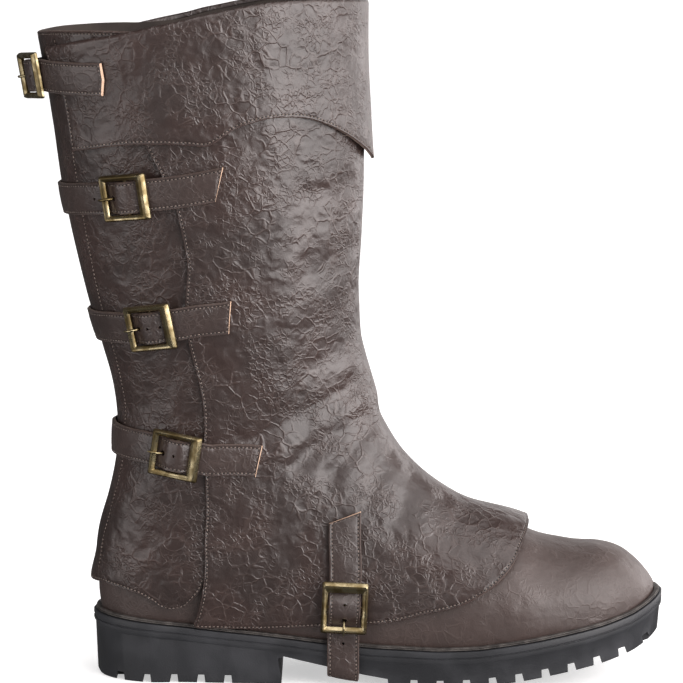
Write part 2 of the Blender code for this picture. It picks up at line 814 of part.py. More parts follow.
def build_welt():
    """Strip between the leather and the ledge, all round the upper."""
    low = upper_outline(SEAT_GAP)
    high = upper_outline(SEAT_GAP + WELT_THICKNESS)
    count = len(low)

    def under(x):
        return seat_height(x) + SEAT_GAP

    def over(x):
        return seat_height(x) + SEAT_GAP + WELT_THICKNESS

    loops = [
        raised(grown(low, WELT_WIDTH), under),
        raised(grown(high, WELT_WIDTH), over),
        raised(grown(high, WELT_CLEARANCE), over),
        raised(grown(low, WELT_CLEARANCE), under),
    ]
    verts = np.concatenate(loops)
    faces = tube_faces(4, count, 0, False)
    faces += [(3 * count + j, 3 * count + (j + 1) % count, (j + 1) % count, j) for j in range(count)]
    return add_object("welt", verts, faces, "welt")


def build_insole():
    lift = -UPPER_WALL - INSOLE_CLEARANCE
    low = upper_outline(SEAT_GAP, lift, INSOLE_POINTS)
    high = upper_outline(SEAT_GAP + INSOLE_THICKNESS, lift, INSOLE_POINTS)
    loops = [
        raised(low, lambda x: seat_height(x) + SEAT_GAP),
        raised(high, lambda x: seat_height(x) + SEAT_GAP + INSOLE_THICKNESS),
    ]
    return loop_solid("insole", loops, "board")


def degrees(value):
    return np.radians(np.asarray(value, float))


def over_back_panel(section, angle):
    """1 where the front panel lies on the back panel, 0 where it lies on the upper."""
    beside = smooth_step(OVERLAP_START - 26, OVERLAP_START - 10, np.degrees(np.abs(angle)))
    return beside * smooth_step(14.0, 14.8, section)


def rim_section(angle):
    """Section number of the gaiter's rim at an angle, on either side."""
    return through(CUFF_EDGE, np.degrees(np.abs(angle)), 2)


def build_gaiter_back():
    """Rear wrap, on the upper's own columns and, above its hem, on the upper's own sections."""
    angle = np.radians(np.arange(OVERLAP_START, 360.1 - OVERLAP_START, 360 / AROUND))[None, :]
    folded = 180 - np.abs(180 - np.degrees(angle))
    low = through(BACK_EDGE, folded)
    hem_share = np.array([0, 0.12, 0.36, 0.66])[:, None]
    whole = np.arange(BACK_HEM_TOP, RIM_SECTION)[:, None]
    section = np.concatenate(
        [
            low + (BACK_HEM_TOP - low) * hem_share,
            np.broadcast_to(whole, (len(whole), angle.shape[1])),
            through(BACK_EDGE, folded, 2),
        ]
    )
    drop = (section - low) / (BACK_HEM_TOP - low)
    flare = BACK_FLARE * smooth_step(0.6, 0.0, drop) * smooth_step(112, 150, folded)
    inner = LAYER_GAP + flare
    return closed_patch(
        "gaiter_back",
        lifted(section, angle, inner + PANEL_THICKNESS),
        lifted(section, angle, inner),
        "leather",
    )


def front_panel_sections():
    """Rows of the front panel: close together round its flap and its lower corner, else the upper's own."""
    flap = [row[0] for row in FRONT_EDGE[:7] if row[0] != FRONT_EDGE[1][0]]
    corner = [row[0] for row in FRONT_EDGE if 14.5 < row[0] < 16.0 and row[0] != CORNER_SKIP]
    whole = [n for n in range(9, int(RIM_SECTION)) if n != 15]
    return np.sort(np.array(flap + corner + whole))


def build_gaiter_front():
    """Front wrap: a lifted flap over the instep, both sides, and the shin up to the rim."""
    section = front_panel_sections()[:, None]
    share = np.linspace(-1, 1, FRONT_COLUMNS)[None, :]
    angle = share * degrees(through(FRONT_EDGE, section))
    section = np.repeat(section, FRONT_COLUMNS, axis=1)
    top_angle = share * degrees(through(FRONT_EDGE, np.array([[RIM_SECTION]])))
    section = np.concatenate([section, rim_section(top_angle) - section_shift(FIT)])
    angle = np.concatenate([angle, top_angle])
    share = np.repeat(share, len(section), axis=0)
    flap = FLAP_LIFT * smooth_step(9.4, 6.9, section)
    flap = flap * (1 - 0.8 * smooth_step(15, 75, np.degrees(np.abs(angle))))
    hem = HEM_LIFT * smooth_step(0.80, 1.0, np.abs(share)) * smooth_step(7.0, 8.2, section)
    hem = hem * smooth_step(15.6, 14.6, section)
    inner = layer_lift(over_back_panel(section, angle)) + flap + hem
    return closed_patch(
        "gaiter_front",
        lifted(section, angle, inner + PANEL_THICKNESS),
        lifted(section, angle, inner),
        "leather",
    )


def build_cuff():
    """Fold-over: hangs outside the front panel and turns inwards over its top edge."""
    share = np.array([0.0, 0.12, 0.30, 0.50, 0.72, 0.90, 1.0])[:, None]
    side = np.array(CUFF_COLUMNS) / CUFF_COLUMNS[-1]
    turn = np.concatenate([-side[:0:-1], side])[None, :]
    angle = turn * degrees(through(CUFF_END, share))
    folded = np.degrees(np.abs(angle))
    low = through(CUFF_EDGE, folded, 1)
    high = through(CUFF_EDGE, folded, 2)
    section = low + (high - low) * share
    front = over_back_panel(section, angle)
    flare = CUFF_FLARE * (1 - share) ** 2 * (0.45 + 0.55 * smooth_step(40, 0, folded))
    inner = layer_lift(1 + front) + flare
    outer = inner + CUFF_THICKNESS
    tucked = layer_lift(front[-1:])
    middle = (outer[-1:] + tucked) / 2
    bent = [
        (section[-1:] + section_shift(0.55 * CUFF_FOLD), outer[-1:] - 0.25 * CUFF_FOLD),
        (section[-1:] + section_shift(CUFF_FOLD), middle),
        (section[-1:] + section_shift(0.55 * CUFF_FOLD), tucked),
    ]
    under = [
        (section[-1:] + section_shift(0.1 * CUFF_FOLD), inner[-1:] - 0.1 * CUFF_FOLD),
        (section[-1:] + section_shift(0.15 * CUFF_FOLD), middle),
        (section[-1:] + section_shift(0.05 * CUFF_FOLD), tucked),
    ]
    angles = np.concatenate([angle, angle[-1:], angle[-1:], angle[-1:]])
    outside = lifted(
        np.concatenate([section] + [row[0] for row in bent]),
        angles,
        np.concatenate([outer] + [row[1] for row in bent]),
    )
    inside = lifted(
        np.concatenate([section] + [row[0] for row in under]),
        angles,
        np.concatenate([inner] + [row[1] for row in under]),
    )
    return closed_patch("cuff", outside, inside, "leather")


def buckle_bump(offset):
    """How far the strap rises over the centre bar, at a distance along it from the bar."""
    top = BUMP_FLAT / 2
    return BUMP_HEIGHT * smooth_step(BUMP_REACH, top, np.abs(offset))


def strap_path(points, normals):
    """Length along a dense path, its tangents, and normals squared to them."""
    step = np.linalg.norm(np.diff(points, axis=0), axis=1)
    length = np.concatenate([[0], np.cumsum(step)])
    tangent = np.gradient(points, length, axis=0)
    tangent /= np.linalg.norm(tangent, axis=1, keepdims=True)
    across = np.cross(tangent, normals)
    across /= np.linalg.norm(across, axis=1, keepdims=True)
    return length, tangent, across, np.cross(across, tangent)


def at_length(wanted, length, values):
    return np.stack([np.interp(wanted, length, values[:, k]) for k in range(3)], -1)


def ribbon(name, points, normals, buckle_at, tail_cut, step=0.010):
    """Strap: three columns wide, along a dense path of its underside, humped where it crosses a centre bar."""
    length, tangent, across, up = strap_path(points, normals)
    fine = np.arange(buckle_at - BUMP_REACH - 0.001, buckle_at + BUMP_REACH + 0.0011, 0.0017)
    before = np.arange(0, fine[0] - 0.5 * step, step)
    after = np.arange(fine[-1] + step, length[-1] + 1e-6, step)
    after = after * (length[-1] - fine[-1]) / (after[-1] - fine[-1]) + fine[-1] * (
        1 - (length[-1] - fine[-1]) / (after[-1] - fine[-1])
    )
    stations = np.concatenate([before, fine, after])
    sides = np.array([-1.0, 0.0, 1.0])
    shift = np.interp(sides, (-1, 0, 1), tail_cut)
    where = stations[:, None] + shift[None, :] * np.clip(1 - stations / step, 0, 1)[:, None]
    centre = at_length(where, length, points)
    side = at_length(where, length, across)
    out = at_length(where, length, up)
    bump = buckle_bump(where - buckle_at)[..., None]
    under = centre + side * sides[None, :, None] * STRAP_WIDTH / 2 + out * bump
    over = under + out * STRAP_THICKNESS
    strap = closed_patch(name, over, under, "strap")
    frame = [np.array([np.interp(buckle_at, length, v[:, k]) for k in range(3)]) for v in (points, tangent, across, up)]
    return strap, frame


def place(frame, along_it, across_it, up):
    """Point in a buckle's own frame: along points away from the strap's tail."""
    origin, tangent, across, out = frame
    return origin + tangent * along_it + across * across_it + out * up


def build_buckle(name, frame):
    """Bevelled frame with two lugs and a centre bar that the strap rides over."""
    base = STRAP_THICKNESS + FIT
    half = BUCKLE_LENGTH / 2
    wide = BUCKLE_WIDTH / 2
    prong_in = half - BUCKLE_PRONG_BAR
    tail_in = half - BUCKLE_TAIL_BAR
    side_in = wide - BUCKLE_SIDE_BAR

    def loop(ridge, height):
        """Rectangle a share of the way across each bar."""
        far = half + (prong_in - half) * ridge
        near = half + (tail_in - half) * ridge
        side = wide + (side_in - wide) * ridge
        corners = ((-near, -side), (far, -side), (far, side), (-near, side))
        return [place(frame, u, w, height) for u, w in corners]

    rows = (
        (0.0, base),
        (0.0, base + 0.45 * BUCKLE_THICKNESS),
        (0.30, base + BUCKLE_THICKNESS),
        (0.55, base + BUCKLE_THICKNESS),
        (1.0, base + 0.62 * BUCKLE_THICKNESS),
        (1.0, base),
    )
    verts = []
    for ridge, height in rows:
        verts += loop(ridge, height)
    faces = tube_faces(len(rows), 4, 0, False)
    last = (len(rows) - 1) * 4
    faces += [(last + j, last + (j + 1) % 4, (j + 1) % 4, j) for j in range(4)]
    buckle = add_object(name, verts, faces, "brass")
    for side in (-1, 1):
        low = side_in * side
        high = (side_in + 0.7 * BUCKLE_SIDE_BAR) * side
        lug = []
        for up in (BAR_HEIGHT - CENTRE_BAR_RADIUS, base + 0.3 * BUCKLE_THICKNESS):
            for u, w in ((-1, low), (1, low), (1, high), (-1, high)):
                lug.append(place(frame, u * 1.3 * CENTRE_BAR_RADIUS, w, up))
        cut(buckle, hidden_solid(name + "_lug", lug, BOX_FACES), "UNION")
    bar = tube_between(
        place(frame, 0, -side_in - 0.35 * BUCKLE_SIDE_BAR, BAR_HEIGHT),
        place(frame, 0, side_in + 0.35 * BUCKLE_SIDE_BAR, BAR_HEIGHT),
        CENTRE_BAR_RADIUS,
        frame[3],
        8,
    )
    cut(buckle, hidden_solid(name + "_bar", *bar), "UNION")
    return buckle


def hidden_solid(name, verts, faces):
    helper = add_object(name, verts, [tuple(face) for face in faces], "brass")
    helper.hide_render = True
    helper.display_type = "WIRE"
    return helper


def tube_between(start, end, radius, up, sides):
    axis = (end - start) / np.linalg.norm(end - start)
    other = np.cross(axis, up)
    verts = []
    for point in (start, end):
        for k in range(sides):
            turn = 2 * math.pi * (k + 0.5) / sides
            verts.append(point + (up * math.cos(turn) + other * math.sin(turn)) * radius)
    faces = tube_faces(2, sides, 0, False)
    faces += [tuple(range(sides)), tuple(range(2 * sides - 1, sides - 1, -1))]
    return verts, faces


def build_prong(name, frame):
    """Tongue: hooked over the centre bar, up through the strap's hole and over the narrow bar."""
    base = STRAP_THICKNESS + FIT
    bar = BUCKLE_LENGTH / 2 - BUCKLE_PRONG_BAR
    over = base + BUCKLE_THICKNESS + FIT + PRONG_RADIUS
    hook = CENTRE_BAR_RADIUS + FIT + PRONG_RADIUS
    hole = bar - PRONG_HOLE_INSET
    path = [
        (-hook * math.cos(math.radians(a)), BAR_HEIGHT + hook * math.sin(math.radians(a)))
        for a in (20, 70, 130)
    ]
    path += [
        (hook + 0.0002, BAR_HEIGHT),
        (hole - 0.0014, BAR_HEIGHT + 0.0001),
        (hole - 0.0001, BAR_HEIGHT + 0.0014),
        (hole + 0.0004, base + 0.5 * BUCKLE_THICKNESS),
        (bar - 0.0004, over - 0.0003),
        (bar + 0.35 * BUCKLE_PRONG_BAR, over),
        (BUCKLE_LENGTH / 2 + 0.0007, over - 0.0004),
    ]
    points = np.array([place(frame, u, 0.0, v) for u, v in path])
    tangents = np.gradient(points, axis=0)
    verts = []
    for point, tangent in zip(points, tangents):
        tangent = tangent / np.linalg.norm(tangent)
        other = np.cross(tangent, frame[2])
        for k in range(PRONG_SIDES):
            turn = 2 * math.pi * k / PRONG_SIDES
            verts.append(point + (frame[2] * math.cos(turn) + other * math.sin(turn)) * PRONG_RADIUS)
    faces = tube_faces(len(points), PRONG_SIDES, 0, False)
    faces += [tuple(range(PRONG_SIDES)), tuple(range(len(verts) - 1, len(verts) - PRONG_SIDES - 1, -1))]
    return add_object(name, verts, faces, "brass")


def prong_hole(strap, frame):
    """Hole that the prong comes up through."""
    hole = BUCKLE_LENGTH / 2 - BUCKLE_PRONG_BAR - PRONG_HOLE_INSET
    verts, faces = tube_between(
        place(frame, hole, 0, -0.002), place(frame, hole, 0, 0.007), PRONG_HOLE_RADIUS, frame[1], 8
    )
    cut(strap, hidden_solid("hole_cutter", verts, faces))


def fasten(name, points, normals, buckle_at, tail_cut):
    strap, frame = ribbon("strap_" + name, points, normals, buckle_at, tail_cut)
    prong_hole(strap, frame)
    build_buckle("buckle_" + name, frame)
    build_prong("prong_" + name, frame)


def build_shaft_strap(name):
    rows = np.array(STRAP_ROWS[name])
    dense = spline(rows, np.linspace(0, len(rows) - 1, 600))
    angle = degrees(dense[:, 0])
    lift = layer_lift(dense[:, 2])
    points = lifted(dense[:, 1], angle, lift)
    normals = form_normal(dense[:, 1], angle)
    length = np.concatenate([[0], np.cumsum(np.linalg.norm(np.diff(points, axis=0), axis=1))])
    buckle_at = np.interp(BUCKLE_ANGLE[name], dense[:, 0], length)
    fasten(name, points, normals, buckle_at, TAIL_CUT[name])


def ledge_reach(x, side):
    """Widest place of the sole's ledge under the strap, on the lateral (-1) or medial (1) side."""
    ledge = grown(upper_outline(0.0), LEDGE)
    half = len(ledge) // 2
    line = ledge[: half + 1] if side < 0 else np.concatenate([ledge[:1], ledge[:half:-1]])
    places = x + STRAP_WIDTH * np.linspace(-0.5, 0.5, 9)
    return side * float(np.max(np.abs(np.interp(-places, -line[:, 0], line[:, 1]))))


def build_foot_strap():
    """Strap from the lateral side of the front panel, under the arch, to its medial side."""
    x = along(FOOT_STRAP_ALONG)
    lateral = ledge_reach(x, -1) - FOOT_STRAP_CLEARANCE
    medial = ledge_reach(x, 1) + FOOT_STRAP_CLEARANCE
    top = float(seat_height(x)) + 0.001
    low = FOOT_STRAP_DROP + STRAP_THICKNESS
    lift = layer_lift(1) + HEM_LIFT + FOOT_STRAP_LIFT
    down = [lifted(section, math.radians(angle), lift) for section, angle in FOOT_STRAP_ROWS]
    up = [lifted(section, math.radians(-angle), lift) for section, angle in FOOT_STRAP_ROWS[1:]]
    turn = ((0.0, 0.5 * (top - low)), (0.0, 0.0040), (0.0010, 0.0010), (0.0045, 0.0), (0.016, 0.0))
    under = [(x, lateral, top)]
    under += [(x, lateral + inwards, low + rise) for inwards, rise in turn]
    under += [(x, medial - inwards, low + rise) for inwards, rise in turn[::-1]]
    under += [(x, medial, top)]
    knots = np.array([list(p) for p in down] + [list(p) for p in under] + [list(p) for p in up[::-1]])
    points = spline(knots, np.linspace(0, len(knots) - 1, 800))
    tangent = np.gradient(points, axis=0)
    arch_x, arch_z = np.array(arch_line()).T
    edges = np.interp([x - STRAP_WIDTH / 2, x + STRAP_WIDTH / 2], arch_x, arch_z)
    along_arch = np.array([STRAP_WIDTH, 0.0, edges[1] - edges[0]])
    normals = np.cross(along_arch, tangent)
    normals /= np.linalg.norm(normals, axis=1, keepdims=True)
    if normals[0][1] > 0:
        normals = -normals
    buckle_at = np.interp(
        FOOT_BUCKLE_KNOT,
        np.linspace(0, len(knots) - 1, 800),
        np.concatenate([[0], np.cumsum(np.linalg.norm(np.diff(points, axis=0), axis=1))]),
    )
    fasten("foot", points, normals, buckle_at, TAIL_CUT["foot"])


def main():
    clear_scene()
    build_outsole()
    build_welt()
    build_insole()
    build_upper()
    build_gaiter_back()
    build_gaiter_front()
    build_cuff()
    for name in STRAP_ROWS:
        build_shaft_strap(name)
    build_foot_strap()


main()
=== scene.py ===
"""Looks of the buckled pirate boot, right foot: leather, stitching, straps, buckles, sole, light and camera.

Metres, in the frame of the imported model: +X to the toe, -Y to the lateral side that the camera sees, +Z up.
"""

import json
import math

import bmesh
import bpy
import numpy as np
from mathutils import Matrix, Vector

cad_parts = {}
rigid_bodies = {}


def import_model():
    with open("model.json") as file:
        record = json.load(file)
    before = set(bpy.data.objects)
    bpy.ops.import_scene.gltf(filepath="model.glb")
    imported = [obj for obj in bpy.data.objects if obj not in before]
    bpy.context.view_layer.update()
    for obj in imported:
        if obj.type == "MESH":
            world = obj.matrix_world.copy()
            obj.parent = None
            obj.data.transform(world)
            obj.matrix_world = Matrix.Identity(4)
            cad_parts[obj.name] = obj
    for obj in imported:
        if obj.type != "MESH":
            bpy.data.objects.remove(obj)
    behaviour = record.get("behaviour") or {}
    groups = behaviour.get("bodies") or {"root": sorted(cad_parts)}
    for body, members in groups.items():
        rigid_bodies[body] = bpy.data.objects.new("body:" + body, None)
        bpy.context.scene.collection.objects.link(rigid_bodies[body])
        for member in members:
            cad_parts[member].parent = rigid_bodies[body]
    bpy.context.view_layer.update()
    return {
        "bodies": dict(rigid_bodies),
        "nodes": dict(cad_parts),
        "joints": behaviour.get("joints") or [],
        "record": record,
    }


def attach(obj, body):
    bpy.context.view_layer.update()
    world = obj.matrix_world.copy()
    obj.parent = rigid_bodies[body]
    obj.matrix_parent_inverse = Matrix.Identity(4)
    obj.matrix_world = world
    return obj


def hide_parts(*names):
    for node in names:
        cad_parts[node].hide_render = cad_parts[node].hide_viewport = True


# Sizes of the boot's form, as the part has them
SOLE_LENGTH = 0.308
HEEL_LENGTH = 0.100
BALL_WIDTH = 0.097
INSTEP_HEIGHT = 0.080
HEEL_HEIGHT = 0.0346
FOREFOOT_THICKNESS = 0.0202
TOE_SPRING = 0.024
SHAFT_HEIGHT = 0.343
RIM_RISE = 0.023
ANKLE_DEPTH = 0.128
ANKLE_WIDTH = 0.082
SHAFT_DEPTH = 0.169
SHAFT_WIDTH = 0.104

# Leather
UPPER_WALL = 0.0020
PANEL_THICKNESS = 0.0018
CUFF_THICKNESS = 0.0018
STRAP_THICKNESS = 0.0017
STRAP_WIDTH = 0.0170
LAYER_GAP = 0.0006
COLLAR_DROP = 0.0080
CUFF_FOLD = 0.0022

# Sole
LEDGE = 0.0045
SEAT_GAP = 0.0004
LUG_DEPTH = 0.0045
LUG_GROOVE = 0.0045
LUG_PITCH = 0.0140
SIDE_STEP = 0.0010
SIDE_STEP_HEIGHT = 0.0065
ARCH_RISE = 0.0155
SIDE_DRAFT = 0.0010
HEEL_LUG_PITCH = 0.0145
HEEL_PAD = 0.030
LUG_BAND = 0.036
TREAD_START = 0.510

# Buckles
BUCKLE_LENGTH = 0.0275
BUCKLE_WIDTH = 0.0245
BUCKLE_THICKNESS = 0.0032
BUCKLE_TAIL_BAR = 0.0055
BUCKLE_PRONG_BAR = 0.0038
BUCKLE_SIDE_BAR = 0.0031
CENTRE_BAR_RADIUS = 0.0008
PRONG_RADIUS = 0.0006
PRONG_HOLE_RADIUS = 0.0015
FIT = 0.0003
BAR_HEIGHT = 0.00075
BUMP_HEIGHT = 0.0034
BUMP_FLAT = 0.0044
BUMP_REACH = 0.0090
PRONG_HOLE_INSET = 0.0030

# Gaiter edges, and the strap under the arch
BACK_FLARE = 0.0022
FLAP_LIFT = 0.0048
HEM_LIFT = 0.0012
CUFF_FLARE = 0.0030
FOOT_STRAP_ALONG = 0.433
FOOT_STRAP_CLEARANCE = 0.0014
FOOT_STRAP_LIFT = 0.0006
FOOT_STRAP_DROP = 0.0040
FOOT_BUCKLE_KNOT = 3.1
OVERLAP_START = 77.14
SEAT_TUCK = 0.018
RIM_SECTION = 29.0
HEEL_SECTION = 18.0
SHIN_ALONG = 0.462
TOE_TIP_ALONG = 0.982
TOE_TIP_RISE = 0.047

# Meshes and their finish
CELL = 0.0024
EDGE_STEPS = (0.0, 0.0002, 0.0005, 0.0009, 0.0013, 0.0017, 0.0023, 0.0032)
EDGE_ROUND = 0.0006
STITCH_INSET = 0.0016
STITCH_SIZES = {"Pitch": 0.0021, "Stitch length": 0.0014, "Thread radius": 0.00030, "Hole radius": 0.00042}
CREASE_TAPER = 0.012
WAVE_HEIGHT = 0.00018
FOOT_WAVE_HEIGHT = 0.00022
FRONT_COLUMNS = 160
BACK_COLUMNS = 128
CUFF_COLUMNS = 190
UPPER_COLUMNS = 150
BACK_PANEL_HEIGHT = 0.27
CUFF_HEIGHT = 0.066
STRAP_CELL = 0.0015
STRAP_CROWN = 0.00022
SPARE_HOLE_RADIUS = 0.00085
PRONG_COLUMNS = 12
OUTLINE_POINTS = 240
WELD = 0.000001

# Seat of the upper: share of the sole's length, share of the heel's extra height, share of the toe spring
SEAT_ROWS = (
    (0.000, 1.00, 0.00), (0.094, 0.86, 0.00), (0.146, 0.73, 0.00), (0.219, 0.57, 0.00),
    (0.279, 0.45, 0.00), (0.328, 0.34, 0.00), (0.400, 0.17, 0.00), (0.487, 0.04, 0.00),
    (0.594, 0.00, 0.00), (0.666, 0.00, 0.06), (0.756, 0.00, 0.24), (0.832, 0.00, 0.41),
    (0.883, 0.00, 0.53), (0.937, 0.00, 0.70), (0.989, 0.00, 0.96), (1.010, 0.00, 1.08),
)
# Sections of the foot, toe first: along, drop_back, top, swing, lateral, medial, widest, powers
FOOT_SECTIONS = (
    (0.979, 0.000, 0.088, 0.036, 0.090, 0.103, 0.45, 2.20, 2.40),
    (0.969, 0.000, 0.161, 0.034, 0.172, 0.180, 0.45, 2.20, 2.40),
    (0.950, 0.000, 0.273, 0.030, 0.262, 0.256, 0.45, 2.20, 2.40),
    (0.922, 0.000, 0.380, 0.025, 0.345, 0.318, 0.45, 2.25, 2.40),
    (0.886, 0.000, 0.454, 0.018, 0.415, 0.368, 0.45, 2.30, 2.40),
    (0.841, 0.000, 0.497, 0.012, 0.472, 0.414, 0.45, 2.30, 2.40),
    (0.792, 0.000, 0.564, 0.006, 0.508, 0.450, 0.45, 2.20, 2.50),
    (0.744, 0.003, 0.664, 0.000, 0.527, 0.472, 0.44, 2.10, 2.60),
    (0.693, 0.011, 0.782, 0.000, 0.527, 0.472, 0.42, 2.00, 2.60),
    (0.644, 0.031, 0.891, 0.000, 0.510, 0.448, 0.40, 2.00, 2.60),
    (0.601, 0.062, 1.002, 0.000, 0.477, 0.404, 0.38, 2.00, 2.60),
    (0.563, 0.099, 1.114, 0.000, 0.443, 0.363, 0.36, 2.05, 2.60),
    (0.532, 0.149, 1.237, 0.000, 0.418, 0.347, 0.36, 2.10, 2.60),
    (0.508, 0.213, 1.373, 0.000, 0.402, 0.350, 0.37, 2.15, 2.60),
    (0.490, 0.289, 1.509, 0.000, 0.395, 0.360, 0.38, 2.20, 2.60),
)
# Sections of the ankle and shaft:
# front_rise, front_lean, back_rise, depth, calf, lateral, medial, widest, powers
SHAFT_SECTIONS = (
    (0.049, 0.041, -0.067, 0.854, 0.00, 0.458, 0.436, 0.40, 2.20, 2.50),
    (0.096, 0.023, -0.073, 1.041, 0.00, 0.455, 0.440, 0.42, 2.20, 2.40),
    (0.140, 0.006, 0.018, 1.100, 0.00, 0.455, 0.440, 0.44, 2.20, 2.30),
    (0.183, -0.008, 0.086, 1.100, 0.00, 0.459, 0.447, 0.45, 2.20, 2.20),
    (0.225, -0.013, 0.147, 1.083, 0.00, 0.470, 0.457, 0.46, 2.20, 2.20),
    (0.267, -0.015, 0.212, 1.038, 0.00, 0.488, 0.476, 0.47, 2.20, 2.15),
    (0.310, -0.017, 0.277, 1.007, 0.00, 0.506, 0.494, 0.47, 2.20, 2.10),
    (0.356, -0.015, 0.342, 0.977, 0.08, 0.513, 0.507, 0.47, 2.20, 2.10),
    (0.408, -0.010, 0.407, 0.966, 0.18, 0.518, 0.512, 0.47, 2.15, 2.10),
    (0.466, -0.006, 0.471, 0.970, 0.30, 0.519, 0.519, 0.47, 2.15, 2.10),
    (0.537, -0.002, 0.553, 0.987, 0.42, 0.521, 0.521, 0.47, 2.15, 2.10),
    (0.626, 0.000, 0.650, 0.996, 0.56, 0.520, 0.520, 0.47, 2.15, 2.10),
    (0.737, 0.000, 0.757, 1.001, 0.70, 0.518, 0.518, 0.47, 2.15, 2.10),
    (0.862, -0.002, 0.877, 0.999, 0.83, 0.514, 0.514, 0.47, 2.15, 2.10),
    (1.000, 0.000, 1.000, 1.013, 0.93, 0.508, 0.508, 0.47, 2.15, 2.10),
    (1.116, 0.001, 1.075, 1.022, 1.00, 0.505, 0.505, 0.47, 2.15, 2.10),
)
# Edge of the front panel: section number, degrees from the front line
FRONT_EDGE = (
    (6.86, 3.0), (6.90, 14.0), (6.97, 24.2), (7.10, 35.7), (7.32, 50.4), (7.77, 65.1),
    (8.35, 75.5), (8.97, 83.0), (9.97, 89.5), (11.19, 97.0), (12.40, 106.5), (13.32, 115.3),
    (14.29, 122.1), (14.80, 125.0), (14.92, 117.0), (15.23, 106.3), (15.71, 97.0), (16.13, 93.6),
    (17.13, 91.8), (18.13, 92.9), (19.81, 98.1), (20.77, 100.9), (21.74, 103.8), (23.16, 107.0),
    (24.19, 104.9), (25.19, 100.4), (26.16, 101.2), (26.87, 105.6), (27.40, 110.0), (30.00, 116.0),
)
# Edges of the back panel: degrees from the front line, section number of the lower edge and of the rim
BACK_EDGE = (
    (77.0, 16.30, 28.88), (98.0, 15.55, 28.93), (106.0, 15.34, 28.95), (113.0, 15.36, 28.98),
    (119.2, 16.20, 29.02),
    (134.6, 16.81, 29.09), (156.5, 17.35, 29.14), (180.0, 17.55, 29.14),
)
BACK_HEM_TOP = 19
# Stitch line beside the back panel's seam: section number, degrees from the front line
BACK_SEAM = ((17.75, 157.5), (19.5, 156.5), (22.0, 155.5), (25.0, 153.0), (27.0, 149.5), (28.95, 150.0))
# Edges of the cuff: degrees from the front line, section number of the lower edge and of the rim
CUFF_EDGE = (
    (0.0, 25.84, 28.83), (6.0, 25.94, 28.83), (18.9, 26.26, 28.86), (30.9, 26.61, 28.92),
    (39.1, 26.84, 28.96), (46.1, 27.02, 29.00), (52.3, 27.15, 29.02), (60.8, 27.26, 29.06),
    (67.5, 27.31, 29.07), (73.4, 27.30, 29.06), (78.3, 27.27, 29.04), (85.0, 27.13, 29.01),
    (87.6, 27.09, 29.00), (92.2, 27.16, 28.96), (102.7, 27.28, 28.92), (116.9, 27.38, 28.87),
    (131.3, 27.41, 28.85), (143.4, 27.42, 28.82), (153.5, 27.42, 28.80),
)
# Rear end of the cuff: share of its height, degrees from the front line
CUFF_END = ((0.00, 143.9), (0.30, 144.7), (0.55, 145.4), (0.80, 150.4), (1.00, 153.0))

# Straps round the shaft: degrees from the front line, section number, layers of leather underneath
STRAP_ROWS = {
    "top": (
        (122.0, 28.35, 3.2), (137.8, 28.42, 3.2), (148.0, 28.46, 3.1), (158.0, 28.50, 2.9),
        (168.0, 28.51, 3.0), (180.0, 28.50, 4.2), (192.0, 28.48, 4.6), (202.0, 28.47, 4.2),
        (212.0, 28.46, 3.6), (222.2, 28.42, 3.3), (236.0, 28.38, 3.2),
    ),
    "upper": (
        (83.1, 26.38, 2.0), (98.1, 26.45, 2.0), (111.0, 26.53, 2.0), (120.6, 26.58, 1.4),
        (131.0, 26.63, 1.1), (150.0, 26.70, 1.0), (180.0, 26.74, 1.0), (210.0, 26.70, 1.0),
        (229.0, 26.63, 1.1), (239.4, 26.58, 1.4), (249.0, 26.53, 2.0), (261.9, 26.45, 2.0),
        (272.0, 26.40, 2.0),
    ),
    "middle": (
        (87.0, 23.25, 2.0), (99.5, 23.63, 2.0), (112.8, 23.88, 2.0), (122.1, 24.03, 1.4),
        (133.2, 24.16, 1.1), (150.0, 24.36, 1.0), (180.0, 24.50, 1.0), (210.0, 24.36, 1.0),
        (226.8, 24.16, 1.1), (237.9, 24.03, 1.4), (247.2, 23.88, 2.0), (260.5, 23.63, 2.0),
        (271.0, 23.32, 2.0),
    ),
    "lower": (
        (73.7, 17.00, 2.1), (84.4, 17.97, 2.1), (97.3, 19.06, 2.1), (110.6, 19.77, 1.6),
        (124.2, 20.40, 1.4), (139.3, 20.92, 1.4), (160.0, 21.34, 1.4), (180.0, 21.48, 1.4),
        (200.0, 21.34, 1.4), (220.7, 20.92, 1.4), (235.8, 20.40, 1.4), (249.4, 19.77, 1.6),
        (262.7, 19.06, 2.1), (275.6, 17.97, 2.1),
    ),
}
BUCKLE_ANGLE = {"top": 167.5, "upper": 120.6, "middle": 122.1, "lower": 110.6}
TAIL_CUT = {
    "top": (0.0012, 0.0, 0.0012),
    "upper": (0.0076, 0.0038, 0.0),
    "middle": (0.0046, 0.0023, 0.0),
    "lower": (0.0014, 0.0007, 0.0),
    "foot": (0.0, 0.0033, 0.0066),
}
FOOT_STRAP_ROWS = ((13.16, 61.5), (12.71, 70.5), (12.32, 79.4), (11.97, 90.5), (11.84, 98.0))
# Spare holes of each strap, as distances from the prong's hole: below zero is towards the tail
STRAP_HOLES = {
    "top": (-0.0105,),
    "upper": (-0.0190, 0.0125),
    "middle": (-0.0130, -0.0064, 0.0068),
    "lower": (-0.0150, -0.0070, 0.0066),
    "foot": (-0.0175, -0.0090, 0.0125),
}

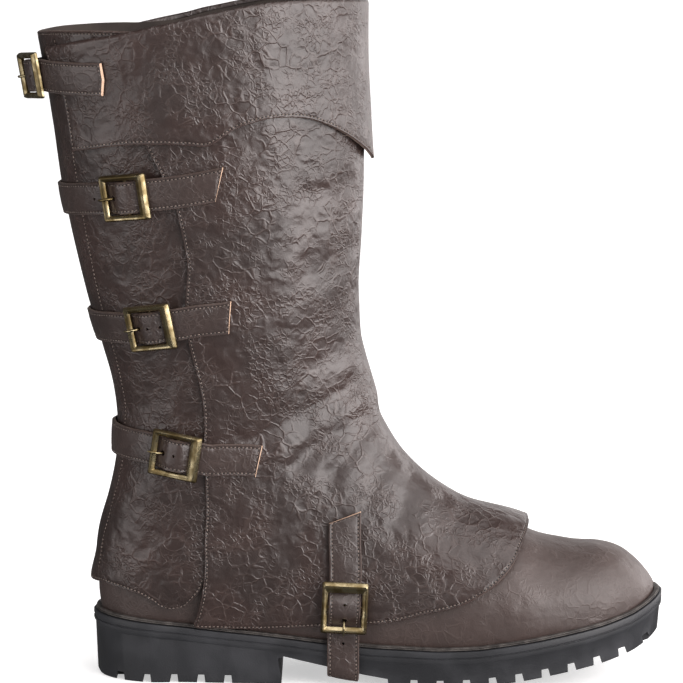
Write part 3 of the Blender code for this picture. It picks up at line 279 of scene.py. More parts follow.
# Creases, placed on the lateral side:
# height (below zero a trough), half width, then section number and degrees of each point
CREASES = (
    (-0.0007, 0.0060, ((25.45, 14), (25.48, 27), (25.44, 40), (25.60, 50), (25.45, 60))),
    (0.0004, 0.0070, ((25.95, 12), (26.00, 28), (25.90, 42), (25.95, 56))),
    (-0.0007, 0.0075, ((23.25, 8), (23.29, 15.5), (23.33, 37.9), (23.46, 50.0), (23.70, 62))),
    (0.0004, 0.0085, ((24.00, 10), (24.05, 30), (24.20, 48), (24.40, 66))),
    (-0.0004, 0.0060, ((20.9, 14), (20.7, 32), (20.9, 52), (21.3, 70))),
    (0.0003, 0.0060, ((21.7, 16), (21.7, 38), (21.9, 58))),
    (0.0009, 0.0060, ((17.2, 12), (17.72, 40.7), (18.65, 57.2), (19.3, 74))),
    (-0.0009, 0.0050, ((16.1, 12), (16.5, 32), (17.09, 53.6), (17.8, 70), (18.3, 84))),
    (0.0008, 0.0055, ((15.25, 14), (15.6, 32), (16.3, 52), (16.8, 72))),
    (-0.0014, 0.0050, ((14.76, 14), (14.80, 24), (14.98, 39.4), (15.69, 49.7), (15.9, 66))),
    (0.0008, 0.0045, ((14.45, 18), (14.55, 34), (14.7, 47), (15.0, 62))),
    (-0.0013, 0.0045, ((14.05, 16), (14.26, 28.8), (14.26, 40.7), (14.34, 49.7), (14.6, 62))),
    (0.0008, 0.0055, ((13.35, 10), (13.45, 26), (13.4, 42), (13.6, 58))),
    (-0.0008, 0.0045, ((12.70, 12.1), (12.74, 37.1), (12.57, 48.9), (12.5, 60))),
    (-0.0009, 0.0045, ((11.09, 13.4), (11.30, 39.7), (11.2, 56))),
    (0.0005, 0.0050, ((11.9, 8), (11.95, 30), (11.9, 52))),
    (-0.0008, 0.0045, ((9.70, 8.5), (9.87, 39.7), (9.8, 58))),
    (0.0005, 0.0050, ((10.4, 10), (10.5, 32), (10.5, 52))),
    (-0.0005, 0.0040, ((8.90, 10.0), (9.32, 41.7), (9.2, 60))),
    (-0.0004, 0.0060, ((24.9, 150), (25.3, 134), (25.2, 120), (25.0, 108))),
    (-0.0005, 0.0060, ((22.7, 168), (22.3, 150), (22.2, 132), (22.5, 116))),
    (0.0004, 0.0060, ((21.9, 170), (21.5, 150), (21.3, 130))),
    (-0.0008, 0.0055, ((19.4, 172), (19.1, 155), (18.8, 138), (18.9, 120))),
    (0.0007, 0.0070, ((18.5, 170), (18.2, 152), (18.0, 135))),
    (-0.0005, 0.0050, ((17.7, 158), (17.5, 142), (17.3, 126), (17.4, 112))),
    (-0.0004, 0.0060, ((28.2, 20), (28.0, 40), (27.9, 58))),
    (0.0004, 0.0070, ((27.7, 75), (27.9, 95), (28.1, 118))),
    (-0.0004, 0.0060, ((28.4, 82), (28.2, 104), (28.3, 126))),
)
# Creases of the bare foot below the panels
VAMP_CREASES = (
    (-0.0006, 0.0040, ((6.2, 20), (6.5, 44), (6.9, 66))),
    (-0.0005, 0.0035, ((5.7, 30), (6.1, 52), (6.4, 72))),
    (-0.0005, 0.0035, ((7.4, 72), (7.9, 88), (8.4, 98))),
    (0.0004, 0.0050, ((6.6, 16), (6.9, 40))),
)

# Leather: dark, light and line tones, then how strong the crackle is and how rough the sheen. The line tone
# lightens the crackle lines and the edge's rim: partly scuffed wear, partly painted highlight
GAITER_LEATHER = ((0.0250, 0.0125, 0.0100), (0.0385, 0.0205, 0.0170), (0.100, 0.064, 0.054), 1.0, 0.38)
VAMP_LEATHER = ((0.0450, 0.0260, 0.0215), (0.0590, 0.0360, 0.0305), (0.105, 0.070, 0.060), 0.5, 0.50)
STRAP_LEATHER = ((0.0330, 0.0190, 0.0160), (0.0470, 0.0290, 0.0250), (0.120, 0.085, 0.073), 0.6, 0.38)
FACET_HEIGHT = 0.0011
LINE_HEIGHT = 0.00020
GRAIN_HEIGHT = 0.00006

# Soft boxes: place, width and height, watts. All face the same spot on the boot.
SOFT_BOXES = {
    "key": ((1.48, -1.08, 0.55), (2.45, 1.50), 55.0),
    "side": ((1.55, 0.75, 0.50), (1.20, 1.20), 14.0),
    "back": ((0.80, 1.60, 0.50), (1.6, 1.2), 7.0),
    "overhead": ((0.45, -0.50, 1.50), (2.2, 1.5), 18.0),
    "left": ((-1.45, -1.00, 0.45), (1.6, 1.3), 10.0),
}
LIT_SPOT = (0.08, 0.0, 0.17)
LIGHT_TINT = (1.0, 0.962, 0.955)
WORLD_LIGHT = 0.08

# Camera: where it stands, what it looks at, and its lens for the photo's frame
CAMERA_PLACE = (0.0825, -1.750, 0.436)
CAMERA_TARGET = (0.0825, 0.0, 0.185)
SENSOR_WIDTH = 36.0
LENS = 173.23
FRAME_SHIFT = -0.0139


def along(share):
    """Place on the sole's length, from the heel's back."""
    return share * SOLE_LENGTH - HEEL_LENGTH / 2


def seat_height(x):
    """Height of the sole's top at a place along the sole."""
    rows = np.array(SEAT_ROWS)
    heights = FOREFOOT_THICKNESS + (HEEL_HEIGHT - FOREFOOT_THICKNESS) * rows[:, 1] + TOE_SPRING * rows[:, 2]
    return np.interp((np.asarray(x, float) + HEEL_LENGTH / 2) / SOLE_LENGTH, rows[:, 0], heights)


def tread_height(x):
    """Height of the forefoot's lowest surface."""
    rows = np.array(SEAT_ROWS)
    share = (np.asarray(x, float) + HEEL_LENGTH / 2) / SOLE_LENGTH
    return TOE_SPRING * np.interp(share, rows[:, 0], rows[:, 2])


def section_rows():
    """Each section as front x and z, back x and z, swing, half widths, widest place and powers."""
    rows = []
    for share, drop, top, swing, lateral, medial, widest, top_power, under_power in FOOT_SECTIONS:
        front = along(share)
        back = along(share - drop)
        top_z = seat_height(front) + top * INSTEP_HEIGHT
        low_z = seat_height(back) - SEAT_TUCK
        widths = (swing * BALL_WIDTH, lateral * BALL_WIDTH, medial * BALL_WIDTH)
        rows.append((front, top_z, back, low_z) + widths + (widest, top_power, under_power))
    bend = rows[-1][1]
    rim = SHAFT_HEIGHT + RIM_RISE
    for rise, lean, back_rise, depth, calf, lateral, medial, widest, power, back_power in SHAFT_SECTIONS:
        local_depth = ANKLE_DEPTH + calf * (SHAFT_DEPTH - ANKLE_DEPTH)
        local_width = ANKLE_WIDTH + calf * (SHAFT_WIDTH - ANKLE_WIDTH)
        front = along(SHIN_ALONG) + lean * SHAFT_DEPTH
        back = along(SHIN_ALONG) - depth * local_depth
        back_z = HEEL_HEIGHT + back_rise * (SHAFT_HEIGHT - HEEL_HEIGHT)
        widths = (0.0, lateral * local_width, medial * local_width)
        rows.append((front, bend + rise * (rim - bend), back, back_z) + widths + (widest, power, back_power))
    return np.array(rows)


SECTIONS = section_rows()
LAST_SECTION = len(SECTIONS) - 1


def spline(table, place):
    """Smooth curve through evenly numbered rows."""
    place = np.clip(np.asarray(place, float), 0, len(table) - 1)
    start = np.minimum(place.astype(int), len(table) - 2)
    t = (place - start)[..., None]
    first = table[start]
    second = table[start + 1]
    before = np.where((start > 0)[..., None], table[np.maximum(start - 1, 0)], 2 * first - second)
    last = len(table) - 1
    after = np.where((start + 2 <= last)[..., None], table[np.minimum(start + 2, last)], 2 * second - first)
    return 0.5 * (
        2 * first
        + (second - before) * t
        + (2 * before - 5 * first + 4 * second - after) * t * t
        + (3 * first - before - 3 * second + after) * t**3
    )


def through(rows, key, column=1):
    """Value of one column at a key, on a smooth curve through the rows that doesn't overshoot them."""
    table = np.array(rows, float)
    keys = table[:, 0]
    values = table[:, column]
    slopes = np.diff(values) / np.diff(keys)
    tangent = np.concatenate([slopes[:1], np.zeros(len(slopes) - 1), slopes[-1:]])
    before = slopes[:-1]
    after = slopes[1:]
    same = before * after > 0
    tangent[1:-1] = np.where(same, 2 * before * after / np.where(same, before + after, 1.0), 0.0)
    key = np.clip(np.asarray(key, float), keys[0], keys[-1])
    i = np.clip(np.searchsorted(keys, key, side="right") - 1, 0, len(slopes) - 1)
    width = keys[i + 1] - keys[i]
    t = (key - keys[i]) / width
    return (
        values[i] * (1 + 2 * t) * (1 - t) ** 2
        + tangent[i] * width * t * (1 - t) ** 2
        + values[i + 1] * t * t * (3 - 2 * t)
        + tangent[i + 1] * width * t * t * (t - 1)
    )


def form_point(section, angle):
    """Point of the upper's outer surface. Angle 0 is the front or top line, +90 degrees the lateral side."""
    section, angle = np.broadcast_arrays(np.asarray(section, float), np.asarray(angle, float))
    rows = spline(SECTIONS, section)
    front_x, front_z, back_x, back_z, swing, *shape = np.moveaxis(rows, -1, 0)
    lateral, medial, widest, power, back_power = shape
    cosine = np.cos(angle)
    sine = np.sin(angle)
    used = np.where(cosine >= 0, power, back_power)
    reach = np.sign(cosine) * np.abs(cosine) ** (2 / used)
    share = np.where(cosine >= 0, widest + (1 - widest) * reach, widest * (1 + reach))
    across = np.abs(sine) ** (2 / used) * np.where(sine >= 0, -lateral, medial)
    x = back_x + (front_x - back_x) * share
    z = back_z + (front_z - back_z) * share
    return np.stack([x, swing + across, z], -1)


def form_normal(section, angle):
    step = 1e-3
    section = np.clip(np.asarray(section, float), step, LAST_SECTION - step)
    up = form_point(section + step, angle) - form_point(section - step, angle)
    round_it = form_point(section, angle + step) - form_point(section, angle - step)
    normal = np.cross(up, round_it)
    return normal / np.linalg.norm(normal, axis=-1, keepdims=True)


def lifted(section, angle, lift):
    """Point at a distance outside the upper's surface."""
    section, angle, lift = np.broadcast_arrays(section, angle, lift)
    return form_point(section, angle) + form_normal(section, angle) * lift[..., None]


def layer_lift(layers):
    """Clear distance outside the upper when this many layers of leather lie underneath."""
    return LAYER_GAP + np.asarray(layers, float) * (PANEL_THICKNESS + LAYER_GAP)


def smooth_step(low, high, value):
    t = np.clip((np.asarray(value, float) - low) / (high - low), 0, 1)
    return t * t * (3 - 2 * t)


def over_back_panel(section, angle):
    """1 where the front panel lies on the back panel, 0 where it lies on the upper."""
    beside = smooth_step(OVERLAP_START - 26, OVERLAP_START - 10, np.degrees(np.abs(angle)))
    return beside * smooth_step(14.0, 14.8, section)


def rim_section(angle):
    """Section number of the gaiter's rim at an angle, on either side."""
    return through(CUFF_EDGE, np.degrees(np.abs(angle)), 2)


def section_shift(distance):
    """How far a section number goes for a distance along the top of the shaft."""
    return distance / (SECTIONS[-1][1] - SECTIONS[-2][1])


def folded_degrees(angle):
    """Degrees from the front line, 0 to 180 on both sides."""
    turned = np.degrees(np.abs(angle)) % 360
    return 180 - np.abs(180 - turned)


def crease_relief(points, creases):
    """Sum of the troughs and ridges at each point. The medial side has them too, a little weaker."""
    flat = points.reshape(-1, 3)
    total = np.zeros(len(flat))
    for side, strength in ((1, 1.0), (-1, 0.8)):
        for height, width, knots in creases:
            table = np.array(knots, float)
            dense = spline(table, np.linspace(0, len(table) - 1, 6 * len(table)))
            line = lifted(dense[:, 0], np.radians(dense[:, 1]) * side, layer_lift(1))
            low = line.min(0) - 3 * width
            high = line.max(0) + 3 * width
            near = np.nonzero(np.all((flat > low) & (flat < high), axis=1))[0]
            if not len(near):
                continue
            start = line[:-1]
            step = line[1:] - start
            size = np.sum(step * step, axis=1)
            gap = flat[near][:, None, :] - start[None]
            t = np.clip(np.sum(gap * step[None], axis=2) / size[None], 0, 1)
            distance = np.linalg.norm(gap - t[..., None] * step[None], axis=2)
            best = distance.argmin(axis=1)
            rows = np.arange(len(near))
            lengths = np.concatenate([[0], np.cumsum(np.sqrt(size))])
            place = lengths[best] + t[rows, best] * np.sqrt(size)[best]
            ends = np.minimum(place, lengths[-1] - place)
            fade = smooth_step(0, CREASE_TAPER, ends)
            total[near] += strength * height * fade * np.exp(-((distance[rows, best] / width) ** 2))
    return total.reshape(points.shape[:-1])


def wave_table(seed, count, short, long):
    """Directions and phases of soft waves with lengths between two sizes."""
    draw = np.random.default_rng(seed)
    heading = draw.normal(size=(count, 3))
    heading /= np.linalg.norm(heading, axis=1, keepdims=True)
    length = short * (long / short) ** draw.random(count)
    return heading * (2 * math.pi / length)[:, None], draw.random(count) * 2 * math.pi, length / long


WAVES = wave_table(11, 36, 0.009, 0.034)


def soft_waves(points):
    """Gentle unevenness of worn leather, about -1 to 1."""
    heading, phase, weight = WAVES
    flat = points.reshape(-1, 3)
    total = (np.cos(flat @ heading.T + phase) * weight).sum(axis=1) / np.sqrt((weight**2).sum() / 2)
    return (total / 2.2).reshape(points.shape[:-1])


def shaft_relief(section, angle):
    """How far creases and waves move the gaiter, its straps and its cuff outwards."""
    base = form_point(section, angle)
    on_line = smooth_step(2, 16, folded_degrees(angle)) * smooth_step(178, 160, folded_degrees(angle))
    creases = crease_relief(base + form_normal(section, angle) * layer_lift(1), CREASES)
    return (creases + WAVE_HEIGHT * soft_waves(base)) * (0.25 + 0.75 * on_line)


def crowded(length, cell=CELL, near=EDGE_STEPS):
    """Distances along a length: close together at both ends, then about one cell apart."""
    inner = np.linspace(near[-1], length - near[-1], max(4, int((length - 2 * near[-1]) / cell)))
    return np.concatenate([near[:-1], inner, length - np.array(near[-2::-1])])


def crowded_shares(half_widths, columns):
    """Share -1 to 1 across each row, with the same near steps in metres at both edges of every row."""
    near = np.array(EDGE_STEPS)
    rows = []
    for half in half_widths:
        steps = near * min(1.0, 0.4 * half / near[-1])
        inner = np.linspace(-half + steps[-1], half - steps[-1], columns - 2 * (len(near) - 1))
        rows.append(np.concatenate([-half + steps[:-1], inner, half - steps[-2::-1]]) / half)
    return np.array(rows)


def grid_faces(rows, columns):
    index = np.arange(rows * columns).reshape(rows, columns)
    return np.stack([index[:-1, :-1], index[:-1, 1:], index[1:, 1:], index[1:, :-1]], -1).reshape(-1, 4)


def grid_border(rows, columns):
    rim = [j for j in range(columns)]
    rim += [i * columns + columns - 1 for i in range(1, rows)]
    rim += [(rows - 1) * columns + j for j in range(columns - 2, -1, -1)]
    rim += [i * columns for i in range(rows - 2, 0, -1)]
    return np.array(rim)


def tube_faces(rings, columns, start=0, flip=False):
    base = start + np.arange(rings - 1)[:, None] * columns
    here = base + np.arange(columns)[None]
    there = base + (np.arange(columns)[None] + 1) % columns
    quads = np.stack([here, there, there + columns, here + columns], -1).reshape(-1, 4)
    return [tuple(q) for q in (quads[:, ::-1] if flip else quads).tolist()]


def make_piece(name, verts, faces, materials, face_slots=None, smooth_angle=38.0, attributes=None):
    """New mesh object with outward faces, its materials, and named values on its vertices."""
    mesh = bpy.data.meshes.new(name)
    mesh.from_pydata(np.asarray(verts, float).tolist(), [], [tuple(f) for f in faces])
    for finish in materials:
        mesh.materials.append(finish)
    if face_slots is not None:
        mesh.polygons.foreach_set("material_index", np.asarray(face_slots, np.int32))
    for key, values in (attributes or {}).items():
        layer = mesh.attributes.new(key, "FLOAT", "POINT")
        layer.data.foreach_set("value", np.asarray(values, np.float32).ravel())
    bm = bmesh.new()
    bm.from_mesh(mesh)
    bmesh.ops.recalc_face_normals(bm, faces=bm.faces)
    if bm.calc_volume(signed=True) < 0:
        bmesh.ops.reverse_faces(bm, faces=bm.faces)
    bm.to_mesh(mesh)
    bm.free()
    mesh.shade_smooth()
    mesh.set_sharp_from_angle(angle=math.radians(smooth_angle))
    obj = bpy.data.objects.new(name, mesh)
    bpy.context.collection.objects.link(obj)
    return obj


def sheet_piece(name, outer, inner, materials, edge_gap):
    """Leather sheet between two grids. Its border is the raw edge, and each point knows how far that is."""
    rows, columns = outer.shape[:2]
    count = rows * columns
    verts = np.concatenate([outer.reshape(-1, 3), inner.reshape(-1, 3)])
    top = grid_faces(rows, columns)
    under = top[:, ::-1] + count
    rim = grid_border(rows, columns)
    turned = np.roll(rim, -1)
    side = np.stack([turned, rim, rim + count, turned + count], -1)
    faces = np.concatenate([top, under, side])
    slots = np.concatenate([np.zeros(len(top)), np.ones(len(under)), np.full(len(side), 2)])
    values = {"edge": np.concatenate([edge_gap.ravel(), edge_gap.ravel()])}
    return make_piece(name, verts, faces.tolist(), materials, slots, 50.0, values)


def border_distance(points, keep):
    """Distance of each grid point from the border points marked True in keep."""
    rows, columns = points.shape[:2]
    rim = grid_border(rows, columns)
    line = points.reshape(-1, 3)[rim[keep[rim // columns, rim % columns]]]
    flat = points.reshape(-1, 3)
    result = np.full(len(flat), 1.0)
    for low in range(0, len(flat), 2000):
        block = flat[low : low + 2000]
        gaps = np.full(len(block), 1.0)
        for start in range(0, len(line), 500):
            piece = line[start : start + 500]
            gap = np.linalg.norm(block[:, None] - piece[None], axis=2).min(axis=1)
            gaps = np.minimum(gaps, gap)
        result[low : low + 2000] = gaps
    return result.reshape(rows, columns)


def edge_profile(gap):
    """How much thinner the leather is near its edge, and how its stitched hem dips, in metres."""
    rounding = 0.55 * PANEL_THICKNESS * (1 - smooth_step(0, EDGE_ROUND, gap)) ** 1.5
    seam = 0.00026 * np.exp(-(((gap - STITCH_INSET) / 0.0005) ** 2))
    return rounding + seam * (gap > 0.0004)


def panel_row_sections(low, high):
    """Section numbers so close that neither the front line nor the panel's edge moves more than a cell."""
    dense = np.linspace(low, high, 4000)
    edge = lifted(dense, np.radians(through(FRONT_EDGE, dense)), layer_lift(1))
    front = lifted(dense, 0.0, layer_lift(1))
    step = np.maximum(
        np.linalg.norm(np.diff(edge, axis=0), axis=1), np.linalg.norm(np.diff(front, axis=0), axis=1)
    )
    length = np.concatenate([[0], np.cumsum(step)])
    return np.interp(crowded(length[-1]), length, dense)


def build_gaiter_front(finish):
    """Front wrap with its instep flap. Returns the piece and its stitch rows."""
    start = panel_row_sections(FRONT_EDGE[0][0], RIM_SECTION)
    half_angle = np.radians(through(FRONT_EDGE, start))
    spread = np.linspace(0, 1, 40)[None, :] * half_angle[:, None]
    row_points = lifted(start[:, None], spread, layer_lift(1))
    half_width = np.linalg.norm(np.diff(row_points, axis=1), axis=2).sum(axis=1)
    share = crowded_shares(half_width, FRONT_COLUMNS)
    angle = share * half_angle[:, None]
    rise = np.clip((start[:, None] - (RIM_SECTION - 2)) / 2, 0, 1)
    section = start[:, None] + rise * (rim_section(angle) - RIM_SECTION - section_shift(FIT))
    turned = np.degrees(np.abs(angle))
    flap = FLAP_LIFT * smooth_step(9.4, 6.9, section) * (1 - 0.8 * smooth_step(15, 75, turned))
    hem = HEM_LIFT * smooth_step(0.80, 1.0, np.abs(share)) * smooth_step(7.0, 8.2, section)
    hem = hem * smooth_step(15.6, 14.6, section)
    inner = layer_lift(over_back_panel(section, angle)) + flap + hem
    full = lifted(section, angle, inner + PANEL_THICKNESS)
    keep = np.ones(full.shape[:2], bool)
    keep[-1] = False
    gap = border_distance(full, keep)
    relief = shaft_relief(section, angle)
    outer = lifted(section, angle, inner + PANEL_THICKNESS - edge_profile(gap) + relief)
    piece = sheet_piece("gaiter_front", outer, lifted(section, angle, inner + relief), finish, gap)
    grid = np.concatenate([outer, form_normal(section, angle)], -1)
    left, right = side_crossings(grid, gap, range(len(gap)))
    return piece, [stitch_row(left[::-1] + right)]


def build_gaiter_back(finish):
    """Rear wrap over heel and calf. Returns the piece and the stitch rows of its lower and upper hems."""
    angle = np.radians(np.linspace(OVERLAP_START, 360 - OVERLAP_START, BACK_COLUMNS))[None, :]
    folded = folded_degrees(angle)
    low = through(BACK_EDGE, folded)
    high = through(BACK_EDGE, folded, 2)
    share = (crowded(BACK_PANEL_HEIGHT) / BACK_PANEL_HEIGHT)[:, None]
    section = low + (high - low) * share
    drop = (section - low) / (BACK_HEM_TOP - low)
    flare = BACK_FLARE * smooth_step(0.6, 0.0, drop) * smooth_step(112, 150, folded)
    inner = LAYER_GAP + flare
    full = lifted(section, angle, inner + PANEL_THICKNESS)
    keep = np.zeros(full.shape[:2], bool)
    keep[0] = True
    keep[-1] = True
    gap = border_distance(full, keep)
    relief = shaft_relief(section, angle)
    outer = lifted(section, angle, inner + PANEL_THICKNESS - edge_profile(gap) + relief)
    piece = sheet_piece("gaiter_back", outer, lifted(section, angle, inner + relief), finish, gap)
    grid = np.concatenate([outer, form_normal(section, angle)], -1)
    return piece, [stitch_row(hem_crossings(grid, gap)), stitch_row(hem_crossings(grid[::-1], gap[::-1]))]


def build_cuff(finish):
    """Scalloped fold-over that turns inwards over the front panel's top. Returns it and its stitch rows."""
    share = (crowded(CUFF_HEIGHT)[: -len(EDGE_STEPS) + 2] / CUFF_HEIGHT)[:, None]
    share[-1] = 1.0
    side = crowded_shares([0.20], CUFF_COLUMNS)
    angle = side * np.radians(through(CUFF_END, share))
    folded = np.degrees(np.abs(angle))
    low = through(CUFF_EDGE, folded, 1)
    high = through(CUFF_EDGE, folded, 2)
    section = low + (high - low) * share
    front = over_back_panel(section, angle)
    flare = CUFF_FLARE * (1 - share) ** 2 * (0.45 + 0.55 * smooth_step(40, 0, folded))
    inner = layer_lift(1 + front) + flare
    full = lifted(section, angle, inner + CUFF_THICKNESS)
    keep = np.ones(full.shape[:2], bool)
    keep[-1, 1:-1] = False
    gap = border_distance(full, keep)
    relief = shaft_relief(section, angle) * (0.7 + 0.3 * share)
    tucked = layer_lift(front[-1])
    middle = (inner[-1] + CUFF_THICKNESS + tucked) / 2
    reach = (inner[-1] + CUFF_THICKNESS - tucked) / 2
    turn = np.linspace(0, math.pi, 11)[1:, None]
    bend = high[-1] + section_shift(CUFF_FOLD) * np.sin(turn)
    under_bend = high[-1] + section_shift(CUFF_FOLD - CUFF_THICKNESS) * np.sin(turn)
    turns = np.repeat(angle[-1:], len(turn), axis=0)
    fold_relief = np.repeat(relief[-1:], len(turn), axis=0)
    top = lifted(bend, turns, middle + reach * np.cos(turn) + fold_relief)
    under_top = lifted(under_bend, turns, middle + (reach - CUFF_THICKNESS) * np.cos(turn) + fold_relief)
    outer = lifted(section, angle, inner + CUFF_THICKNESS - edge_profile(gap) + relief)
    inside = lifted(section, angle, inner + relief)
    gaps = np.concatenate([gap, np.repeat(gap[-1:], len(turn), axis=0)])
    piece = sheet_piece(
        "cuff", np.concatenate([outer, top]), np.concatenate([inside, under_top]), finish, gaps
    )
    grid = np.concatenate([outer, form_normal(section, angle)], -1)
    middle_row, middle_column = len(gap) // 2, gap.shape[1] // 2
    rows = [i for i in range(len(gap)) if gap[i, middle_column] >= STITCH_INSET]
    left, right = side_crossings(grid, gap, rows)
    across = gap[middle_row] >= STITCH_INSET
    return piece, [stitch_row(left[::-1] + hem_crossings(grid[:, across], gap[:, across]) + right)]


def toe_tip(inset):
    return np.array([along(TOE_TIP_ALONG) - inset, FOOT_SECTIONS[0][3] * BALL_WIDTH, TOE_TIP_RISE])


def upper_relief(section, angle):
    """The inner boot follows the gaiter's creases where it is covered, and has its own at the toe joint."""
    base = form_point(section, angle)
    uncovered = smooth_step(10.5, 8.4, section)
    foot = FOOT_WAVE_HEIGHT * soft_waves(base) * uncovered + crease_relief(base, VAMP_CREASES)
    covered = smooth_step(8.4, 10.5, section)
    return foot + covered * shaft_relief(section, angle)


def profile_block(name, profile, low, high):
    """Helper block: an outline in X and Z, drawn out from one Y to another."""
    count = len(profile)
    verts = [(x, low, z) for x, z in profile] + [(x, high, z) for x, z in profile]
    faces = [tuple(range(count)), tuple(range(2 * count - 1, count - 1, -1))]
    faces += [(i, (i + 1) % count, count + (i + 1) % count, count + i) for i in range(count)]
    return make_piece(name, verts, faces, [])


def cut(obj, cutter, operation="DIFFERENCE"):
    """Applies one exact Boolean with a helper object, then removes the helper."""
    modifier = obj.modifiers.new("cut", "BOOLEAN")
    modifier.operation = operation
    modifier.solver = "EXACT"
    modifier.object = cutter
    graph = bpy.context.evaluated_depsgraph_get()
    made = bpy.data.meshes.new_from_object(obj.evaluated_get(graph))
    obj.modifiers.remove(modifier)
    obj.data = made
    bpy.data.objects.remove(cutter)
    bm = bmesh.new()
    bm.from_mesh(made)
    bmesh.ops.remove_doubles(bm, verts=bm.verts, dist=WELD)
    bm.to_mesh(made)
    bm.free()
    made.shade_smooth()
    made.set_sharp_from_angle(angle=math.radians(38))


def build_upper(finish):
    """Inner boot: one wall closed at the toe, open at the collar and along its seat."""
    collar = RIM_SECTION - section_shift(COLLAR_DROP)
    dense = np.linspace(0, collar, 3000)
    steps = [np.linalg.norm(np.diff(form_point(dense, turn), axis=0), axis=1) for turn in (0.0, 1.5, math.pi)]
    length = np.concatenate([[0], np.cumsum(np.maximum.reduce(steps))])
    sections = np.interp(np.linspace(0, length[-1], int(length[-1] / CELL)), length, dense)
    columns = UPPER_COLUMNS
    angles = np.linspace(0, 2 * math.pi, columns, endpoint=False)
    section, angle = np.broadcast_arrays(sections[:, None], angles[None, :])
    relief = upper_relief(section, np.where(angle > math.pi, angle - 2 * math.pi, angle))
    outer = lifted(section, angle, relief)
    inner = lifted(section, angle, relief - UPPER_WALL)
    tips = [toe_tip(0.0), toe_tip(UPPER_WALL)]
    verts = np.concatenate([outer.reshape(-1, 3), inner.reshape(-1, 3), tips])
    rings = len(sections)
    count = rings * columns
    faces = tube_faces(rings, columns)
    slots = [0] * len(faces)
    lining = tube_faces(rings, columns, count, True)
    faces += lining
    slots += [1] * len(lining)
    top = count - columns
    for j in range(columns):
        k = (j + 1) % columns
        faces += [(2 * count, k, j), (2 * count + 1, count + j, count + k)]
        faces.append((top + j, top + k, count + top + k, count + top + j))
        slots += [0, 1, 2]
    values = {"edge": np.full(len(verts), 0.02)}
    upper = make_piece("upper", verts, faces, finish, slots, 50.0, values)
    xs = np.linspace(along(-0.15), along(1.15), 90)
    profile = [(x, float(seat_height(x)) + SEAT_GAP) for x in xs]
    profile += [(xs[-1], -SEAT_TUCK), (xs[0], -SEAT_TUCK)]
    cut(upper, profile_block("seat_cutter", profile, -BALL_WIDTH, BALL_WIDTH))
    return upper


def spaced_line(line, steps):
    """Open 2-D line resampled in equal steps."""
    length = np.concatenate([[0], np.cumsum(np.linalg.norm(np.diff(line, axis=0), axis=1))])
    wanted = np.linspace(0, length[-1], steps + 1)
    return np.stack([np.interp(wanted, length, line[:, k]) for k in (0, 1)], 1)


def upper_outline(rise, lift=0.0):
    """The upper's outline at a height over its seat, from the toe round the lateral side and back."""
    angles = np.linspace(0, math.pi, 181)
    sides = []
    for side in (1, -1):
        points = []
        for section in np.linspace(0, HEEL_SECTION, 241):
            ring = lifted(np.full_like(angles, section), angles * side, lift)
            height = ring[:, 2] - seat_height(ring[:, 0]) - rise
            crossing = np.nonzero((height[:-1] >= 0) & (height[1:] < 0))[0]
            if len(crossing):
                k = crossing[0]
                t = height[k] / (height[k] - height[k + 1])
                points.append(ring[k] * (1 - t) + ring[k + 1] * t)
        sides.append(np.array(points)[:, :2])
    toe = toe_tip(-lift)[None, :2]
    back = lifted(np.linspace(HEEL_SECTION - 4, HEEL_SECTION, 201), math.pi, lift)
    above = back[:, 2] - seat_height(back[:, 0]) - rise
    heel = np.array([[np.interp(0.0, above, back[:, 0]), 0.0]])
    lateral = spaced_line(np.concatenate([toe, sides[0], heel]), OUTLINE_POINTS // 2)
    medial = spaced_line(np.concatenate([toe, sides[1], heel]), OUTLINE_POINTS // 2)
    return np.concatenate([lateral, medial[-2:0:-1]])


def grown(loop, distance):
    """Closed 2-D loop moved outwards by a distance."""
    ahead = np.roll(loop, -2, axis=0) - np.roll(loop, 2, axis=0)
    ahead /= np.linalg.norm(ahead, axis=1, keepdims=True)
    area = np.sum(loop[:, 0] * np.roll(loop[:, 1], -1) - np.roll(loop[:, 0], -1) * loop[:, 1])
    outward = np.stack([ahead[:, 1], -ahead[:, 0]], 1) * (1 if area > 0 else -1)
    return loop + outward * distance


def raised(loop, height_of):
    return np.column_stack([loop, height_of(loop[:, 0])])


def arch_line():
    """Underside of the arch in X and Z, from the heel's breast to the tread."""
    breast = HEEL_LENGTH / 2
    return [
        (breast - 0.1 * ARCH_RISE, 0.9 * ARCH_RISE),
        (breast + 0.07 * ARCH_RISE, ARCH_RISE),
        (along(0.36), ARCH_RISE * 0.86),
        (along(0.40), ARCH_RISE * 0.69),
        (along(0.47), ARCH_RISE * 0.41),
        (along(TREAD_START), LUG_DEPTH),
    ]


SLOT_FACES = ((0, 3, 2, 1), (4, 5, 6, 7), (0, 1, 5, 4), (1, 2, 6, 5), (2, 3, 7, 6), (3, 0, 4, 7))


def lug_slot(x, low, high):
    """One slot across part of the tread, wider at the ground, following the toe spring."""
    rise = float(tread_height(x))
    ahead = float(tread_height(x + LUG_GROOVE)) - float(tread_height(x - LUG_GROOVE))
    slope = math.atan2(ahead, 2 * LUG_GROOVE)
    verts = []
    for up, narrow in ((-LUG_DEPTH, 1.25), (LUG_DEPTH, 0.78)):
        for sx, y in ((-1, low), (1, low), (1, high), (-1, high)):
            reach = sx * narrow * LUG_GROOVE / 2
            across = reach * math.cos(slope) - up * math.sin(slope)
            verts.append((x + across, y, rise + reach * math.sin(slope) + up * math.cos(slope)))
    return verts


